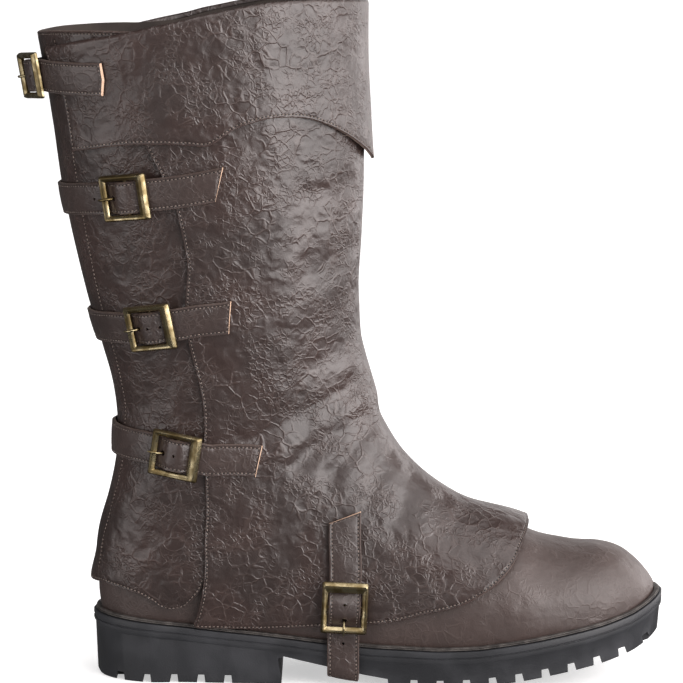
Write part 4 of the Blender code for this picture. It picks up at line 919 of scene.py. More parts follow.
def build_outsole(finish):
    """Rubber unit: rounded ledge, moulded side lines, heel block, arch, toe spring and lugs."""
    ledge = grown(upper_outline(0.0), LEDGE)

    def below(drop):
        lugs = LUG_DEPTH * (1 - 0.08 * drop / SIDE_STEP_HEIGHT)
        return lambda x: np.maximum(seat_height(x) - drop, tread_height(x) + lugs)

    rows = (
        (-SIDE_STEP - SIDE_DRAFT - 0.0008, None, 0.0),
        (-SIDE_STEP - SIDE_DRAFT, None, 0.0007),
        (-SIDE_STEP, below(SIDE_STEP_HEIGHT + SIDE_STEP), 0.0),
        (-0.0003, below(SIDE_STEP_HEIGHT + 0.0002), 0.0),
        (0.0, below(SIDE_STEP_HEIGHT - 0.0006), 0.0),
        (0.0, below(0.0044), 0.0),
        (-0.0005, below(0.0040), 0.0),
        (-0.0005, below(0.0036), 0.0),
        (0.0, below(0.0032), 0.0),
        (0.0, below(0.0008), 0.0),
        (-0.0003, below(0.0002), 0.0),
        (-0.0010, below(0.0), 0.0),
        (-0.0060, below(0.0), 0.0),
    )
    loops = []
    for offset, height, lift in rows:
        loops.append(raised(grown(ledge, offset), height or (lambda x, up=lift: tread_height(x) + up)))
    count = len(ledge)
    verts = np.concatenate(loops)
    faces = tube_faces(len(loops), count)
    last = (len(loops) - 1) * count
    for start, flip in ((0, True), (last, False)):
        for i in range(count // 2):
            quad = (start + i, start + i + 1, start + (count - i - 1) % count, start + (count - i) % count)
            quad = tuple(dict.fromkeys(quad))
            faces.append(quad[::-1] if flip else quad)
    outsole = make_piece("outsole", verts, faces, finish)
    breast = HEEL_LENGTH / 2
    arch = [(breast + 0.001, -LUG_DEPTH)] + arch_line() + [(arch_line()[-1][0] + 0.001, -LUG_DEPTH)]
    cut(outsole, profile_block("arch_cutter", arch, -BALL_WIDTH, BALL_WIDTH))
    side = BALL_WIDTH
    slots = []
    for k in range(-3, 2):
        x = (k + 0.5) * HEEL_LUG_PITCH
        slots += [lug_slot(x, -side, -HEEL_PAD / 2), lug_slot(x, HEEL_PAD / 2, side)]
    x = along(TREAD_START) + LUG_PITCH
    while x < along(1.0) - 0.4 * LUG_PITCH:
        slots += [lug_slot(x, -side, -LUG_BAND / 2), lug_slot(x, LUG_BAND / 2, side)]
        if x < along(0.93):
            slots.append(lug_slot(x + LUG_PITCH / 2, -LUG_BAND / 2 + 0.003, LUG_BAND / 2 - 0.003))
        x += LUG_PITCH
    verts = [v for slot in slots for v in slot]
    faces = [tuple(8 * n + k for k in face) for n in range(len(slots)) for face in SLOT_FACES]
    cut(outsole, make_piece("lug_cutter", verts, faces, []))
    return outsole


def build_welt(finish):
    """Strip between leather and ledge, with two beads and a groove between them."""
    low = upper_outline(SEAT_GAP)
    profile = (
        (0.0030, 0.0000), (0.0032, 0.00025), (0.0031, 0.00055), (0.0026, 0.00070), (0.0025, 0.00085),
        (0.0029, 0.00100), (0.0028, 0.00140), (0.0024, 0.00160), (0.0005, 0.00160), (0.0005, 0.0000),
    )
    loops = []
    for outwards, up in profile:
        loops.append(raised(grown(low, outwards), lambda x, up=up: seat_height(x) + SEAT_GAP + up))
    count = len(low)
    last = (len(loops) - 1) * count
    faces = tube_faces(len(loops), count)
    faces += [(last + j, last + (j + 1) % count, (j + 1) % count, j) for j in range(count)]
    return make_piece("welt", np.concatenate(loops), faces, finish)


def buckle_bump(offset):
    """How far the strap rises over the centre bar, at a distance along it from the bar."""
    return BUMP_HEIGHT * smooth_step(BUMP_REACH, BUMP_FLAT / 2, np.abs(offset))


def strap_path(points, normals):
    """Length along a dense path, its tangents, and normals squared to them."""
    step = np.linalg.norm(np.diff(points, axis=0), axis=1)
    length = np.concatenate([[0], np.cumsum(step)])
    tangent = np.gradient(points, length, axis=0)
    tangent /= np.linalg.norm(tangent, axis=1, keepdims=True)
    across = np.cross(tangent, normals)
    across /= np.linalg.norm(across, axis=1, keepdims=True)
    return length, tangent, across, np.cross(across, tangent)


def at_length(wanted, length, values):
    return np.stack([np.interp(wanted, length, values[:, k]) for k in range(3)], -1)


def place(frame, along_it, across_it, up):
    """Point in a buckle's own frame: along points away from the strap's tail."""
    origin, tangent, across, out = frame
    return origin + tangent * along_it + across * across_it + out * up


def strap_surface(path, where, side, tail_cut, rise, buckle_at):
    """Points of the strap at stations and shares across, this far above its underside."""
    length, points, across, up = path
    shift = np.interp(side, (-1, 0, 1), tail_cut)
    where = where + shift * np.clip(1 - where / 0.010, 0, 1)
    bump = buckle_bump(where - buckle_at)
    centre, sideways, out = (at_length(where, length, values) for values in (points, across, up))
    return centre + sideways * (side * STRAP_WIDTH / 2)[..., None] + out * (bump + rise)[..., None]


def build_strap(name, points, normals, buckle_at, finish):
    """Strap with a raw tail and punched holes. Returns it, its buckle's frame and its stitch lines."""
    length, tangent, across, up = strap_path(points, normals)
    path = (length, points, across, up)
    tail_cut = TAIL_CUT[name]
    stations = crowded(length[-1], STRAP_CELL)
    half = STRAP_WIDTH / 2
    near = np.array(EDGE_STEPS)
    inner = np.linspace(-half + 0.0048, half - 0.0048, 5)
    columns = np.concatenate([-half + near, inner, half - near[::-1]]) / half
    where, side = np.meshgrid(stations, columns, indexing="ij")
    sideways = half * (1 - np.abs(side))
    ends = np.minimum(where, length[-1] - where)
    gap = np.minimum(sideways, ends)
    crown = STRAP_CROWN * smooth_step(STITCH_INSET, 0.006, sideways)
    height = STRAP_THICKNESS - edge_profile(gap) * 0.9 + crown
    over = strap_surface(path, where, side, tail_cut, height, buckle_at)
    under = strap_surface(path, where, side, tail_cut, np.zeros_like(where), buckle_at)
    strap = sheet_piece("strap_" + name, over, under, finish, gap)
    tail_faces(strap, len(stations), len(columns))
    frame = [at_length(buckle_at, length, values) for values in (points, tangent, across, up)]
    hole = BUCKLE_LENGTH / 2 - BUCKLE_PRONG_BAR - PRONG_HOLE_INSET
    low, high = place(frame, hole, 0, -0.002), place(frame, hole, 0, 0.007)
    cut(strap, tube_between(low, high, PRONG_HOLE_RADIUS, frame[1], 14))
    for offset in STRAP_HOLES[name]:
        at = buckle_at + hole + offset
        spot = [at_length(at, length, values) for values in (points, up, tangent)]
        rise = spot[1] * float(buckle_bump(at - buckle_at))
        centre = spot[0] + rise
        low, high = centre - spot[1] * 0.001, centre + spot[1] * 0.004
        cut(strap, tube_between(low, high, SPARE_HOLE_RADIUS, spot[2], 12))
    lines = []
    inset = 1 - STITCH_INSET / half
    run = np.arange(STITCH_INSET, length[-1] - 0.002, 0.0012)
    for edge in (-inset, inset):
        lines.append(strap_line(path, run, np.full_like(run, edge), tail_cut, buckle_at))
    across_run = np.linspace(-inset, inset, 12)
    lines.append(strap_line(path, np.full_like(across_run, STITCH_INSET), across_run, tail_cut, buckle_at))
    return strap, frame, lines


def strap_line(path, where, side, tail_cut, buckle_at):
    """Stitch line on a strap: its points and the directions that stand on them."""
    on, above = (
        strap_surface(path, where, side, tail_cut, np.full_like(where, STRAP_THICKNESS + over), buckle_at)
        for over in (-0.0002, 0.001)
    )
    out = above - on
    return on, out / np.linalg.norm(out, axis=1, keepdims=True)


def tail_faces(strap, rows, columns):
    """Gives the strap's cut tail its own finish: the end face and the first strips of the top beside it."""
    mesh = strap.data
    slots = np.zeros(len(mesh.polygons), np.int32)
    mesh.polygons.foreach_get("material_index", slots)
    top = (rows - 1) * (columns - 1)
    slots[: 2 * (columns - 1)] = 3
    slots[2 * top : 2 * top + columns - 1] = 3
    mesh.polygons.foreach_set("material_index", slots)


def tube_between(start, end, radius, up, sides):
    """Helper cylinder between two points."""
    axis = (end - start) / np.linalg.norm(end - start)
    other = np.cross(axis, up)
    other /= np.linalg.norm(other)
    first = np.cross(other, axis)
    verts = []
    for point in (start, end):
        for k in range(sides):
            turn = 2 * math.pi * (k + 0.5) / sides
            verts.append(point + (first * math.cos(turn) + other * math.sin(turn)) * radius)
    faces = tube_faces(2, sides) + [tuple(range(sides)), tuple(range(2 * sides - 1, sides - 1, -1))]
    return make_piece("tube_helper", verts, faces, [])


def rounded_corners(near, far, side, radius, steps=4):
    """Rectangle with rounded corners as pairs along and across, from -near to far."""
    pairs = []
    for x, y, turn in ((-near, -side, 180), (far, -side, 270), (far, side, 0), (-near, side, 90)):
        centre_x = x + radius * (1 if x < 0 else -1)
        centre_y = y + radius * (1 if y < 0 else -1)
        for k in range(steps + 1):
            a = math.radians(turn + 90 * k / steps)
            pairs.append((centre_x + radius * math.cos(a), centre_y + radius * math.sin(a)))
    return pairs


BUCKLE_PROFILE = (
    (0.0, 0.05), (0.0, 0.40), (0.05, 0.56), (0.26, 0.95), (0.31, 1.0), (0.52, 1.0),
    (0.58, 0.97), (0.90, 0.70), (1.0, 0.56), (1.0, 0.05), (0.95, 0.0), (0.05, 0.0),
)


def build_buckle(name, frame, finish):
    """Cast frame with bevelled faces, two lugs and a centre bar that the strap rides over."""
    base = STRAP_THICKNESS + FIT
    half = BUCKLE_LENGTH / 2
    wide = BUCKLE_WIDTH / 2
    prong_in = half - BUCKLE_PRONG_BAR
    tail_in = half - BUCKLE_TAIL_BAR
    side_in = wide - BUCKLE_SIDE_BAR
    verts = []
    for ridge, height in BUCKLE_PROFILE:
        near = half + (tail_in - half) * ridge
        far = half + (prong_in - half) * ridge
        side = wide + (side_in - wide) * ridge
        for u, w in rounded_corners(near, far, side, 0.0011 - 0.0007 * ridge):
            verts.append(place(frame, u, w, base + height * BUCKLE_THICKNESS))
    rings = len(BUCKLE_PROFILE)
    ring = len(verts) // rings
    faces = tube_faces(rings, ring)
    last = (rings - 1) * ring
    faces += [(last + j, last + (j + 1) % ring, (j + 1) % ring, j) for j in range(ring)]
    buckle = make_piece(name, verts, faces, finish, None, 28.0)
    for side in (-1, 1):
        low = side_in * side
        high = (side_in + 0.7 * BUCKLE_SIDE_BAR) * side
        lug = []
        for up in (BAR_HEIGHT - CENTRE_BAR_RADIUS, base + 0.3 * BUCKLE_THICKNESS):
            for u, w in ((-1, low), (1, low), (1, high), (-1, high)):
                lug.append(place(frame, u * 1.3 * CENTRE_BAR_RADIUS, w, up))
        cut(buckle, make_piece("lug_helper", lug, SLOT_FACES, []), "UNION")
    ends = [place(frame, 0, s * (side_in + 0.35 * BUCKLE_SIDE_BAR), BAR_HEIGHT) for s in (-1, 1)]
    cut(buckle, tube_between(ends[0], ends[1], CENTRE_BAR_RADIUS, frame[3], 12), "UNION")
    buckle.data.set_sharp_from_angle(angle=math.radians(28))
    return buckle


def build_prong(name, frame, finish):
    """Tongue: hooked over the centre bar, up through the strap's hole and over the narrow bar."""
    base = STRAP_THICKNESS + FIT
    bar = BUCKLE_LENGTH / 2 - BUCKLE_PRONG_BAR
    over = base + BUCKLE_THICKNESS + FIT + PRONG_RADIUS
    hook = CENTRE_BAR_RADIUS + FIT + PRONG_RADIUS
    hole = bar - PRONG_HOLE_INSET
    path = [(-hook * math.cos(a), BAR_HEIGHT + hook * math.sin(a)) for a in map(math.radians, (20, 70, 130))]
    path += [
        (hook + 0.0002, BAR_HEIGHT),
        (hole - 0.0014, BAR_HEIGHT + 0.0001),
        (hole - 0.0001, BAR_HEIGHT + 0.0014),
        (hole + 0.0004, base + 0.5 * BUCKLE_THICKNESS),
        (bar - 0.0004, over - 0.0003),
        (bar + 0.35 * BUCKLE_PRONG_BAR, over),
        (BUCKLE_LENGTH / 2 + 0.0007, over - 0.0004),
    ]
    dense = spline(np.array(path), np.linspace(0, len(path) - 1, 46))
    points = np.array([place(frame, u, 0.0, v) for u, v in dense])
    tangents = np.gradient(points, axis=0)
    sides = PRONG_COLUMNS
    verts = []
    for n, (point, tangent) in enumerate(zip(points, tangents)):
        tangent = tangent / np.linalg.norm(tangent)
        other = np.cross(tangent, frame[2])
        from_tip = len(points) - 1 - n
        radius = PRONG_RADIUS * (1.15, 1.0)[n < 30] * min(1.0, 0.45 + 0.2 * from_tip)
        for k in range(sides):
            turn = 2 * math.pi * k / sides
            verts.append(point + (frame[2] * math.cos(turn) + other * math.sin(turn)) * radius)
    faces = tube_faces(len(points), sides)
    faces += [tuple(range(sides)), tuple(range(len(verts) - 1, len(verts) - sides - 1, -1))]
    return make_piece(name, verts, faces, finish)


def shaft_strap_path(name):
    """Dense path of a shaft strap's underside, its normals, and the buckle's place along it."""
    rows = np.array(STRAP_ROWS[name])
    dense = spline(rows, np.linspace(0, len(rows) - 1, 600))
    angle = np.radians(dense[:, 0])
    signed = np.where(angle > math.pi, angle - 2 * math.pi, angle)
    relief = shaft_relief(dense[:, 1], signed)
    kernel = np.hanning(61)
    padded = np.concatenate([np.full(30, relief[0]), relief, np.full(30, relief[-1])])
    smooth = np.convolve(padded, kernel / kernel.sum(), "valid")
    points = lifted(dense[:, 1], angle, layer_lift(dense[:, 2]) + smooth)
    normals = form_normal(dense[:, 1], angle)
    length = np.concatenate([[0], np.cumsum(np.linalg.norm(np.diff(points, axis=0), axis=1))])
    return points, normals, np.interp(BUCKLE_ANGLE[name], dense[:, 0], length)


def ledge_reach(x, side):
    """Widest place of the sole's ledge under the strap, on the lateral (-1) or medial (1) side."""
    ledge = grown(upper_outline(0.0), LEDGE)
    half = len(ledge) // 2
    line = ledge[: half + 1] if side < 0 else np.concatenate([ledge[:1], ledge[:half:-1]])
    places = x + STRAP_WIDTH * np.linspace(-0.5, 0.5, 9)
    return side * float(np.max(np.abs(np.interp(-places, -line[:, 0], line[:, 1]))))


def foot_strap_path():
    """Dense path from the lateral side of the front panel, under the arch, to its medial side."""
    x = along(FOOT_STRAP_ALONG)
    lateral = ledge_reach(x, -1) - FOOT_STRAP_CLEARANCE
    medial = ledge_reach(x, 1) + FOOT_STRAP_CLEARANCE
    top = float(seat_height(x)) + 0.001
    low = FOOT_STRAP_DROP + STRAP_THICKNESS
    lift = layer_lift(1) + HEM_LIFT + FOOT_STRAP_LIFT
    down = [lifted(section, math.radians(angle), lift) for section, angle in FOOT_STRAP_ROWS]
    up = [lifted(section, math.radians(-angle), lift) for section, angle in FOOT_STRAP_ROWS[1:]]
    turn = ((0.0, 0.5 * (top - low)), (0.0, 0.0040), (0.0010, 0.0010), (0.0045, 0.0), (0.016, 0.0))
    under = [(x, lateral, top)]
    under += [(x, lateral + inwards, low + rise) for inwards, rise in turn]
    under += [(x, medial - inwards, low + rise) for inwards, rise in turn[::-1]]
    under += [(x, medial, top)]
    knots = np.array([list(p) for p in down] + [list(p) for p in under] + [list(p) for p in up[::-1]])
    points = spline(knots, np.linspace(0, len(knots) - 1, 800))
    tangent = np.gradient(points, axis=0)
    arch_x, arch_z = np.array(arch_line()).T
    edges = np.interp([x - STRAP_WIDTH / 2, x + STRAP_WIDTH / 2], arch_x, arch_z)
    normals = np.cross(np.array([STRAP_WIDTH, 0.0, edges[1] - edges[0]]), tangent)
    normals /= np.linalg.norm(normals, axis=1, keepdims=True)
    if normals[0][1] > 0:
        normals = -normals
    length = np.concatenate([[0], np.cumsum(np.linalg.norm(np.diff(points, axis=0), axis=1))])
    return points, normals, np.interp(FOOT_BUCKLE_KNOT, np.linspace(0, len(knots) - 1, 800), length)


def crossing(values, gap):
    """Where a run of grid values, from the border inwards, first lies a stitch's inset from it."""
    k = int(np.argmax(gap >= STITCH_INSET))
    if k == 0:
        return None
    t = (STITCH_INSET - gap[k - 1]) / (gap[k] - gap[k - 1])
    return values[k - 1] * (1 - t) + values[k] * t


def stitch_row(spots):
    """Stitch line from the crossings that were found: its points and the directions that stand on them."""
    found = np.array([spot for spot in spots if spot is not None])
    return found[:, :3], found[:, 3:]


def side_crossings(grid, gap, rows):
    """Crossings near both side borders of the given rows."""
    left = [crossing(grid[i], gap[i]) for i in rows]
    right = [crossing(grid[i, ::-1], gap[i, ::-1]) for i in rows]
    return left, right


def hem_crossings(grid, gap):
    """Crossings near the first row's border, in every column."""
    return [crossing(grid[:, j], gap[:, j]) for j in range(grid.shape[1])]


def seam_line(offset, side):
    """Stitch line down the back panel beside its seam."""
    rows = np.array(BACK_SEAM)
    dense = spline(rows, np.linspace(0, len(rows) - 1, 220))
    angle = np.radians(dense[:, 1] + offset)
    drop = (dense[:, 0] - 17.4) / (BACK_HEM_TOP - 17.4)
    flare = BACK_FLARE * smooth_step(0.6, 0.0, drop)
    relief = shaft_relief(dense[:, 0], angle * side)
    lift = LAYER_GAP + flare + PANEL_THICKNESS + relief
    return lifted(dense[:, 0], angle * side, lift), form_normal(dense[:, 0], angle * side)


def add_node(tree, kind, inputs=None, **settings):
    """New node with its settings. An input takes a value or a link."""
    made = tree.nodes.new(kind)
    for key, value in settings.items():
        setattr(made, key, value)
    for key, value in (inputs or {}).items():
        if isinstance(value, bpy.types.NodeSocket):
            tree.links.new(value, made.inputs[key])
        else:
            made.inputs[key].default_value = value
    return made


def stitch_tree(thread, shade):
    """Node group that repeats a small stitch along the lines of a mesh, with a flat dark disc of painted
    shade behind each stitch for its needle hole.
    """
    tree = bpy.data.node_groups.new("stitching", "GeometryNodeTree")
    new_socket = tree.interface.new_socket
    sockets = {"Lines": new_socket("Lines", in_out="INPUT", socket_type="NodeSocketGeometry")}
    for label in STITCH_SIZES:
        sockets[label] = new_socket(label, in_out="INPUT", socket_type="NodeSocketFloat")
    new_socket("Stitches", in_out="OUTPUT", socket_type="NodeSocketGeometry")

    def add(kind, inputs=None, **settings):
        return add_node(tree, kind, inputs, **settings)

    def times(value, factor):
        return add("ShaderNodeMath", {0: value, 1: factor}, operation="MULTIPLY").outputs[0]

    def vector(x, y=0.0, z=0.0):
        return add("ShaderNodeCombineXYZ", {"X": x, "Y": y, "Z": z}).outputs["Vector"]

    def named(name, kind):
        return add("GeometryNodeInputNamedAttribute", {"Name": name}, data_type=kind).outputs["Attribute"]

    given = add("NodeGroupInput").outputs
    pitch, length, thick, hole = (given[label] for label in STITCH_SIZES)
    curve = add("GeometryNodeMeshToCurve", {"Mesh": given["Lines"]}).outputs["Curve"]
    even = add("GeometryNodeResampleCurve", {"Curve": curve, "Length": pitch}, mode="LENGTH").outputs["Curve"]
    bead = add("GeometryNodeMeshUVSphere", {"Segments": 6, "Rings": 4, "Radius": 1.0}).outputs["Mesh"]
    slim = vector(times(length, 0.5), thick, thick)
    stitch = add("GeometryNodeTransform", {"Geometry": bead, "Scale": slim})
    # The needle hole is a flat disc on the leather in a near-black finish: painted shade of the hole.
    marks = {"Geometry": bead, "Name": "hole", "Value": True}
    marked = add("GeometryNodeStoreNamedAttribute", marks, data_type="BOOLEAN", domain="FACE")
    behind = {"Translation": vector(times(pitch, 0.5)), "Scale": vector(hole, hole, times(hole, 0.4))}
    prick = add("GeometryNodeTransform", {"Geometry": marked.outputs["Geometry"], **behind})
    pair = add("GeometryNodeJoinGeometry")
    for part in (stitch, prick):
        tree.links.new(part.outputs["Geometry"], pair.inputs["Geometry"])
    tangent = add("GeometryNodeInputTangent").outputs["Tangent"]
    axes = {"Primary Axis": tangent, "Secondary Axis": named("outward", "FLOAT_VECTOR")}
    turn = add("FunctionNodeAxesToRotation", axes, primary_axis="X", secondary_axis="Z").outputs["Rotation"]
    laid = {"Points": even, "Instance": pair.outputs["Geometry"], "Rotation": turn}
    lay = add("GeometryNodeInstanceOnPoints", laid).outputs["Instances"]
    real = add("GeometryNodeRealizeInstances", {"Geometry": lay}).outputs["Geometry"]
    dyed = add("GeometryNodeSetMaterial", {"Geometry": real, "Material": thread}).outputs["Geometry"]
    pricked = {"Geometry": dyed, "Material": shade, "Selection": named("hole", "BOOLEAN")}
    shaded = add("GeometryNodeSetMaterial", pricked).outputs["Geometry"]
    add("NodeGroupOutput", {"Stitches": shaded})
    return tree, sockets


def build_stitching(name, lines, tree, sockets, thread):
    """All stitch rows of one kind as one plain mesh."""
    verts = np.concatenate([points for points, _ in lines])
    ways = np.concatenate([out for _, out in lines])
    edges = []
    start = 0
    for points, _ in lines:
        edges += [(start + i, start + i + 1) for i in range(len(points) - 1)]
        start += len(points)
    mesh = bpy.data.meshes.new(name + "_lines")
    mesh.from_pydata(verts.tolist(), edges, [])
    layer = mesh.attributes.new("outward", "FLOAT_VECTOR", "POINT")
    layer.data.foreach_set("vector", ways.astype(np.float32).ravel())
    obj = bpy.data.objects.new(name, mesh)
    bpy.context.collection.objects.link(obj)
    modifier = obj.modifiers.new("stitching", "NODES")
    modifier.node_group = tree
    for label, size in STITCH_SIZES.items():
        modifier[sockets[label].identifier] = size
    graph = bpy.context.evaluated_depsgraph_get()
    made = bpy.data.meshes.new_from_object(obj.evaluated_get(graph))
    obj.modifiers.remove(modifier)
    obj.data = made
    if not made.materials:
        made.materials.append(thread)
    made.shade_smooth()
    return obj


class Finish:
    """One procedural material, built node by node."""

    def __init__(self, name, roughness=0.5, metallic=0.0, **sockets):
        self.material = bpy.data.materials.new(name)
        self.material.use_nodes = True
        self.tree = self.material.node_tree
        self.shader = self.tree.nodes["Principled BSDF"]
        self.shader.inputs["Roughness"].default_value = roughness
        self.shader.inputs["Metallic"].default_value = metallic
        for label, value in sockets.items():
            self.shader.inputs[label.replace("_", " ")].default_value = value
        self.place = self.node("ShaderNodeTexCoord").outputs["Object"]

    def node(self, kind, inputs=None, **settings):
        return add_node(self.tree, kind, inputs, **settings)

    def noise(self, scale, detail=2.0, at=None, rough=0.5):
        made = self.node("ShaderNodeTexNoise", {"Vector": at or self.place, "Scale": scale, "Detail": detail})
        made.inputs["Roughness"].default_value = rough
        return made.outputs["Fac"]

    def bent(self, scale, distance, offset=(0.0, 0.0, 0.0)):
        """Object coordinates pushed about by noise."""
        swirl = self.node("ShaderNodeTexNoise", {"Vector": self.place, "Scale": scale, "Detail": 2.0})

        def vectors(operation, inputs):
            return self.node("ShaderNodeVectorMath", inputs, operation=operation).outputs[0]

        middle = vectors("SUBTRACT", {0: swirl.outputs["Color"], 1: (0.5, 0.5, 0.5)})
        pushed = vectors("SCALE", {0: middle, "Scale": distance})
        return vectors("ADD", {0: vectors("ADD", {0: self.place, 1: pushed}), 1: offset})

    def cells(self, scale, at, feature="DISTANCE_TO_EDGE"):
        made = self.node("ShaderNodeTexVoronoi", {"Vector": at, "Scale": scale}, feature=feature)
        return made.outputs["Distance"]

    def span(self, value, low, high, to_low=0.0, to_high=1.0):
        """Value moved from one range to another with soft ends."""
        made = self.node("ShaderNodeMapRange", {"Value": value, "From Min": low, "From Max": high})
        made.inputs["To Min"].default_value = to_low
        made.inputs["To Max"].default_value = to_high
        made.interpolation_type = "SMOOTHSTEP"
        return made.outputs["Result"]

    def maths(self, operation, first, second):
        return self.node("ShaderNodeMath", {0: first, 1: second}, operation=operation).outputs[0]

    def mix(self, share, first, second):
        made = self.node("ShaderNodeMix", {}, data_type="RGBA")
        for key, value in ((0, share), (6, first), (7, second)):
            if isinstance(value, bpy.types.NodeSocket):
                self.tree.links.new(value, made.inputs[key])
            else:
                made.inputs[key].default_value = value if key == 0 else (*value, 1.0)
        return made.outputs[2]

    def attribute(self, name):
        return self.node("ShaderNodeAttribute", {}, attribute_name=name).outputs["Fac"]

    def bump(self, height, distance, strength=1.0, under=None):
        made = self.node("ShaderNodeBump", {"Height": height, "Distance": distance, "Strength": strength})
        if under is not None:
            self.tree.links.new(under, made.inputs["Normal"])
        return made.outputs["Normal"]

    def finish(self, colour=None, roughness=None, normal=None):
        for key, value in (("Base Color", colour), ("Roughness", roughness), ("Normal", normal)):
            if isinstance(value, bpy.types.NodeSocket):
                self.tree.links.new(value, self.shader.inputs[key])
            elif value is not None:
                self.shader.inputs[key].default_value = (*value, 1.0)
        return self.material


def crackled_leather(name, dark, light, line, crackle, sheen_rough):
    """Worn leather: a net of fine crackle lines, small crumpled facets, pebble grain and rubbed patches. The
    crackle lines and the edge's rim are lightened, partly as scuffed wear and partly as painted highlight; a
    dark band along the stitch line is painted shade.
    """
    skin = Finish(name, sheen_rough)
    skin.shader.inputs["Specular IOR Level"].default_value = 0.90
    warped = skin.bent(85.0, 0.0090)
    wide = skin.cells(140.0, warped)
    fine = skin.cells(330.0, skin.bent(170.0, 0.0050, (0.31, 0.17, 0.05)))
    facets = skin.noise(135.0, 1.2, skin.bent(90.0, 0.0080, (0.07, 0.43, 0.19)), 0.42)
    wide_line = skin.span(wide, 0.0, 0.11, 1.0, 0.0)
    fine_line = skin.span(fine, 0.0, 0.20, 1.0, 0.0)
    broken = skin.span(skin.noise(55.0, 3.0), 0.40, 0.60)
    broken_fine = skin.span(skin.noise(70.0, 3.0, skin.bent(20.0, 0.02, (0.5, 0.1, 0.3))), 0.42, 0.66)
    wide_net = skin.maths("MULTIPLY", wide_line, broken)
    fine_net = skin.maths("MULTIPLY", fine_line, broken_fine)
    lines = skin.maths("MAXIMUM", wide_net, fine_net)
    grain = skin.noise(1500.0, 2.0)
    patches = skin.span(skin.noise(26.0, 4.0), 0.35, 0.68)
    base = skin.mix(patches, dark, light)
    specks = skin.maths("MULTIPLY", skin.span(grain, 0.35, 0.75), 0.35)
    speckled = skin.mix(specks, base, tuple(0.6 * c for c in dark))
    # Crackle lines take the lighter line tone: partly scuffed wear, partly a painted highlight on the crease
    # ridges.
    lines_worn_and_highlit = skin.mix(skin.maths("MULTIPLY", lines, 0.22 * crackle), speckled, line)
    from_edge = skin.attribute("edge")
    # Painted shade: a narrow band along the stitch line is darkened, standing in for the shade in the sewn
    # groove.
    from_seam = skin.maths("ABSOLUTE", skin.maths("SUBTRACT", from_edge, STITCH_INSET), 0.0)
    seam = skin.span(from_seam, 0.0, 0.0006, 0.6, 0.0)
    seam_shaded = skin.mix(seam, lines_worn_and_highlit, tuple(0.45 * c for c in dark))
    # Painted highlight and rubbed wear: the rim within a millimetre of the raw edge is lightened towards the
    # line tone.
    colour = skin.mix(skin.span(from_edge, 0.0001, 0.0008, 0.6, 0.0), seam_shaded, line)
    soft = skin.bump(facets, FACET_HEIGHT * crackle, 1.0)
    netted = skin.bump(lines, LINE_HEIGHT * crackle, 1.0, soft)
    normal = skin.bump(grain, GRAIN_HEIGHT, 1.0, netted)
    gloss = skin.span(patches, 0.0, 1.0, sheen_rough + 0.05, sheen_rough - 0.03)
    return skin.finish(colour, gloss, normal)


def raw_edge(name, colour, other):
    cutting = Finish(name, 0.85)
    fibres = cutting.noise(900.0, 3.0)
    tone = cutting.mix(cutting.span(fibres, 0.3, 0.7), colour, other)
    return cutting.finish(tone, None, cutting.bump(fibres, 0.0002, 0.6))


def lining_cloth():
    cloth = Finish("lining", 0.88)
    grain = cloth.noise(700.0, 3.0)
    blotch = cloth.span(cloth.noise(45.0, 3.0), 0.35, 0.65)
    tone = cloth.mix(blotch, (0.040, 0.031, 0.027), (0.062, 0.048, 0.041))
    return cloth.finish(tone, None, cloth.bump(grain, 0.00015, 0.7))


def spun_thread():
    thread = Finish("thread", 0.72)
    blotch = thread.span(thread.noise(380.0, 2.0), 0.35, 0.65)
    tone = thread.mix(blotch, (0.120, 0.090, 0.076), (0.210, 0.162, 0.138))
    return thread.finish(tone, None, thread.bump(thread.noise(2600.0, 1.0), 0.00008, 0.8))


def needle_hole_shade():
    # Near-black tone: painted shade inside the needle holes.
    hole = Finish("needle_hole_shade", 0.8)
    return hole.finish(hole.mix(hole.noise(800.0, 1.0), (0.0085, 0.0060, 0.0052), (0.014, 0.010, 0.009)))


def moulded_rubber():
    rubber = Finish("sole_rubber", 0.56)
    fine = rubber.noise(1300.0, 2.0)
    dust = rubber.span(rubber.noise(38.0, 4.0), 0.40, 0.72)
    tone = rubber.mix(dust, (0.0200, 0.0208, 0.0240), (0.031, 0.032, 0.037))
    rough = rubber.span(dust, 0.0, 1.0, 0.48, 0.62)
    return rubber.finish(tone, rough, rubber.bump(fine, 0.00010, 0.6))


def welt_strip():
    strip = Finish("welt_strip", 0.6)
    blotch = strip.span(strip.noise(220.0, 3.0), 0.35, 0.65)
    tone = strip.mix(blotch, (0.034, 0.029, 0.027), (0.085, 0.075, 0.069))
    return strip.finish(tone, None, strip.bump(strip.noise(1200.0, 2.0), 0.0001, 0.5))


def aged_brass():
    brass = Finish("aged_brass", 0.30, 1.0)
    blotch = brass.span(brass.noise(160.0, 4.0), 0.38, 0.66)
    tone = brass.mix(blotch, (0.200, 0.150, 0.070), (0.52, 0.44, 0.27))
    rough = brass.span(blotch, 0.0, 1.0, 0.40, 0.24)
    return brass.finish(tone, rough, brass.bump(brass.noise(900.0, 2.0), 0.00005, 0.5))


def sock_board():
    board = Finish("sock_lining", 0.9)
    blotch = board.span(board.noise(120.0, 4.0), 0.35, 0.65)
    tone = board.mix(blotch, (0.085, 0.070, 0.060), (0.125, 0.105, 0.090))
    return board.finish(tone, None, board.bump(board.noise(1100.0, 2.0), 0.00015, 0.7))


def pale_floor():
    floor = Finish("pale_floor", 0.9)
    tone = floor.mix(floor.noise(3.0, 2.0), (0.86, 0.86, 0.86), (0.88, 0.88, 0.88))
    floor.shader.inputs["Emission Color"].default_value = (1.0, 1.0, 1.0, 1.0)
    floor.shader.inputs["Emission Strength"].default_value = 0.50
    return floor.finish(tone)


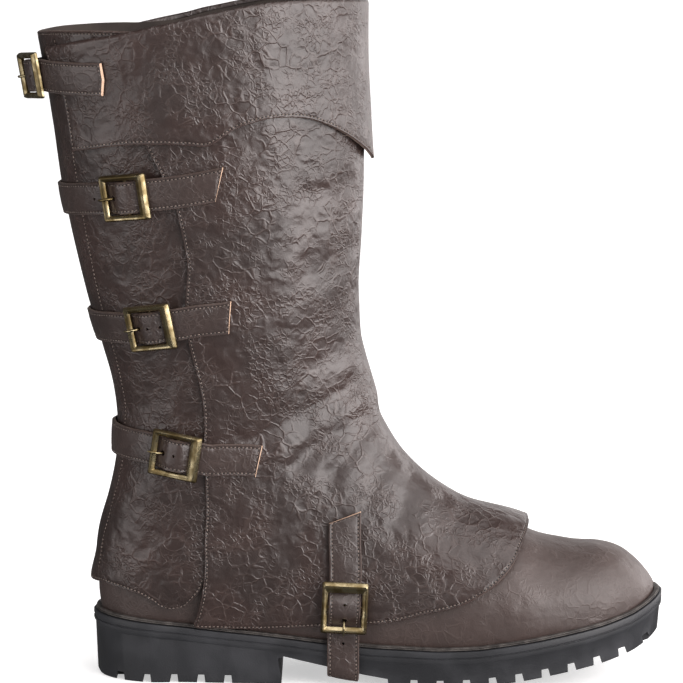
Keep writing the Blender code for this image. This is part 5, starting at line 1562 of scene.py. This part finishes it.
def build_floor():
    """Pale floor that sweeps up into a backdrop."""
    reach = 4.0
    bend = 1.2
    line = [(-reach, 0.0), (1.4, 0.0)]
    line += [(1.4 + bend * math.sin(a), bend * (1 - math.cos(a))) for a in np.linspace(0.1, math.pi / 2, 16)]
    line.append((1.4 + bend, 5.0))
    verts = [(side * reach, y, z) for side in (-1, 1) for y, z in line]
    count = len(line)
    mesh = bpy.data.meshes.new("floor")
    mesh.from_pydata(verts, [], [(i, count + i, count + i + 1, i + 1) for i in range(count - 1)])
    mesh.shade_smooth()
    mesh.materials.append(pale_floor())
    floor = bpy.data.objects.new("floor", mesh)
    floor.visible_glossy = False
    bpy.context.collection.objects.link(floor)


def aim(obj, spot, target):
    obj.location = spot
    obj.rotation_euler = (Vector(target) - Vector(spot)).to_track_quat("-Z", "Y").to_euler()
    bpy.context.collection.objects.link(obj)


def add_light(name, spot, size, power):
    lamp = bpy.data.lights.new(name, "AREA")
    lamp.shape = "RECTANGLE"
    lamp.size, lamp.size_y = size
    lamp.energy = power
    lamp.color = LIGHT_TINT
    holder = bpy.data.objects.new(name, lamp)
    holder.visible_camera = False
    aim(holder, spot, LIT_SPOT)


def set_light_and_camera():
    world = bpy.data.worlds.new("studio")
    bpy.context.scene.world = world
    world.use_nodes = True
    world.node_tree.nodes["Background"].inputs["Color"].default_value = (1.0, 1.0, 1.0, 1.0)
    world.node_tree.nodes["Background"].inputs["Strength"].default_value = WORLD_LIGHT
    for name, box in SOFT_BOXES.items():
        add_light(name, *box)
    camera = bpy.data.cameras.new("camera")
    camera.sensor_width = SENSOR_WIDTH
    camera.lens = LENS
    camera.shift_y = FRAME_SHIFT
    camera.clip_start = 0.05
    holder = bpy.data.objects.new("camera", camera)
    aim(holder, CAMERA_PLACE, CAMERA_TARGET)
    bpy.context.scene.camera = holder
    bpy.context.scene.view_settings.view_transform = "Standard"


def finished(piece, slot, *nodes):
    """The piece rides on the boot and stands for its CAD nodes; slot is not used."""
    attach(piece, "root")
    if nodes:
        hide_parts(*nodes)


def main():
    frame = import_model()
    edge = raw_edge("raw_edge", (0.115, 0.082, 0.066), (0.17, 0.125, 0.10))
    tail = raw_edge("raw_tail", (0.56, 0.36, 0.25), (0.66, 0.46, 0.33))
    cloth = lining_cloth()
    gaiter = crackled_leather("gaiter_leather", *GAITER_LEATHER)
    vamp = crackled_leather("vamp_leather", *VAMP_LEATHER)
    strap_skin = crackled_leather("strap_leather", *STRAP_LEATHER)
    brass = aged_brass()
    thread = spun_thread()

    front, front_hem = build_gaiter_front([gaiter, cloth, edge])
    back, back_hem = build_gaiter_back([gaiter, cloth, edge])
    cuff, cuff_hem = build_cuff([gaiter, cloth, edge])
    finished(front, "leather", "gaiter_front")
    finished(back, "leather", "gaiter_back")
    finished(cuff, "leather", "cuff")
    finished(build_upper([vamp, cloth, edge]), "leather", "upper")
    finished(build_outsole([moulded_rubber()]), "rubber", "outsole")
    finished(build_welt([welt_strip()]), "welt", "welt")

    rows = front_hem + back_hem + cuff_hem
    for side in (1, -1):
        rows.append(seam_line(0.0, side))
    paths = {name: shaft_strap_path(name) for name in STRAP_ROWS}
    paths["foot"] = foot_strap_path()
    for name, (points, normals, buckle_at) in paths.items():
        strap, hold, lines = build_strap(name, points, normals, buckle_at, [strap_skin, cloth, edge, tail])
        rows += lines
        finished(strap, "strap", "strap_" + name)
        finished(build_buckle("buckle_" + name, hold, [brass]), "brass", "buckle_" + name)
        finished(build_prong("prong_" + name, hold, [brass]), "brass", "prong_" + name)
    tree, sockets = stitch_tree(thread, needle_hole_shade())
    finished(build_stitching("stitching", rows, tree, sockets, thread), "leather")

    board = sock_board()
    insole = frame["nodes"]["insole"]
    for slot in insole.material_slots:
        slot.material = board

    build_floor()
    set_light_and_camera()


main()
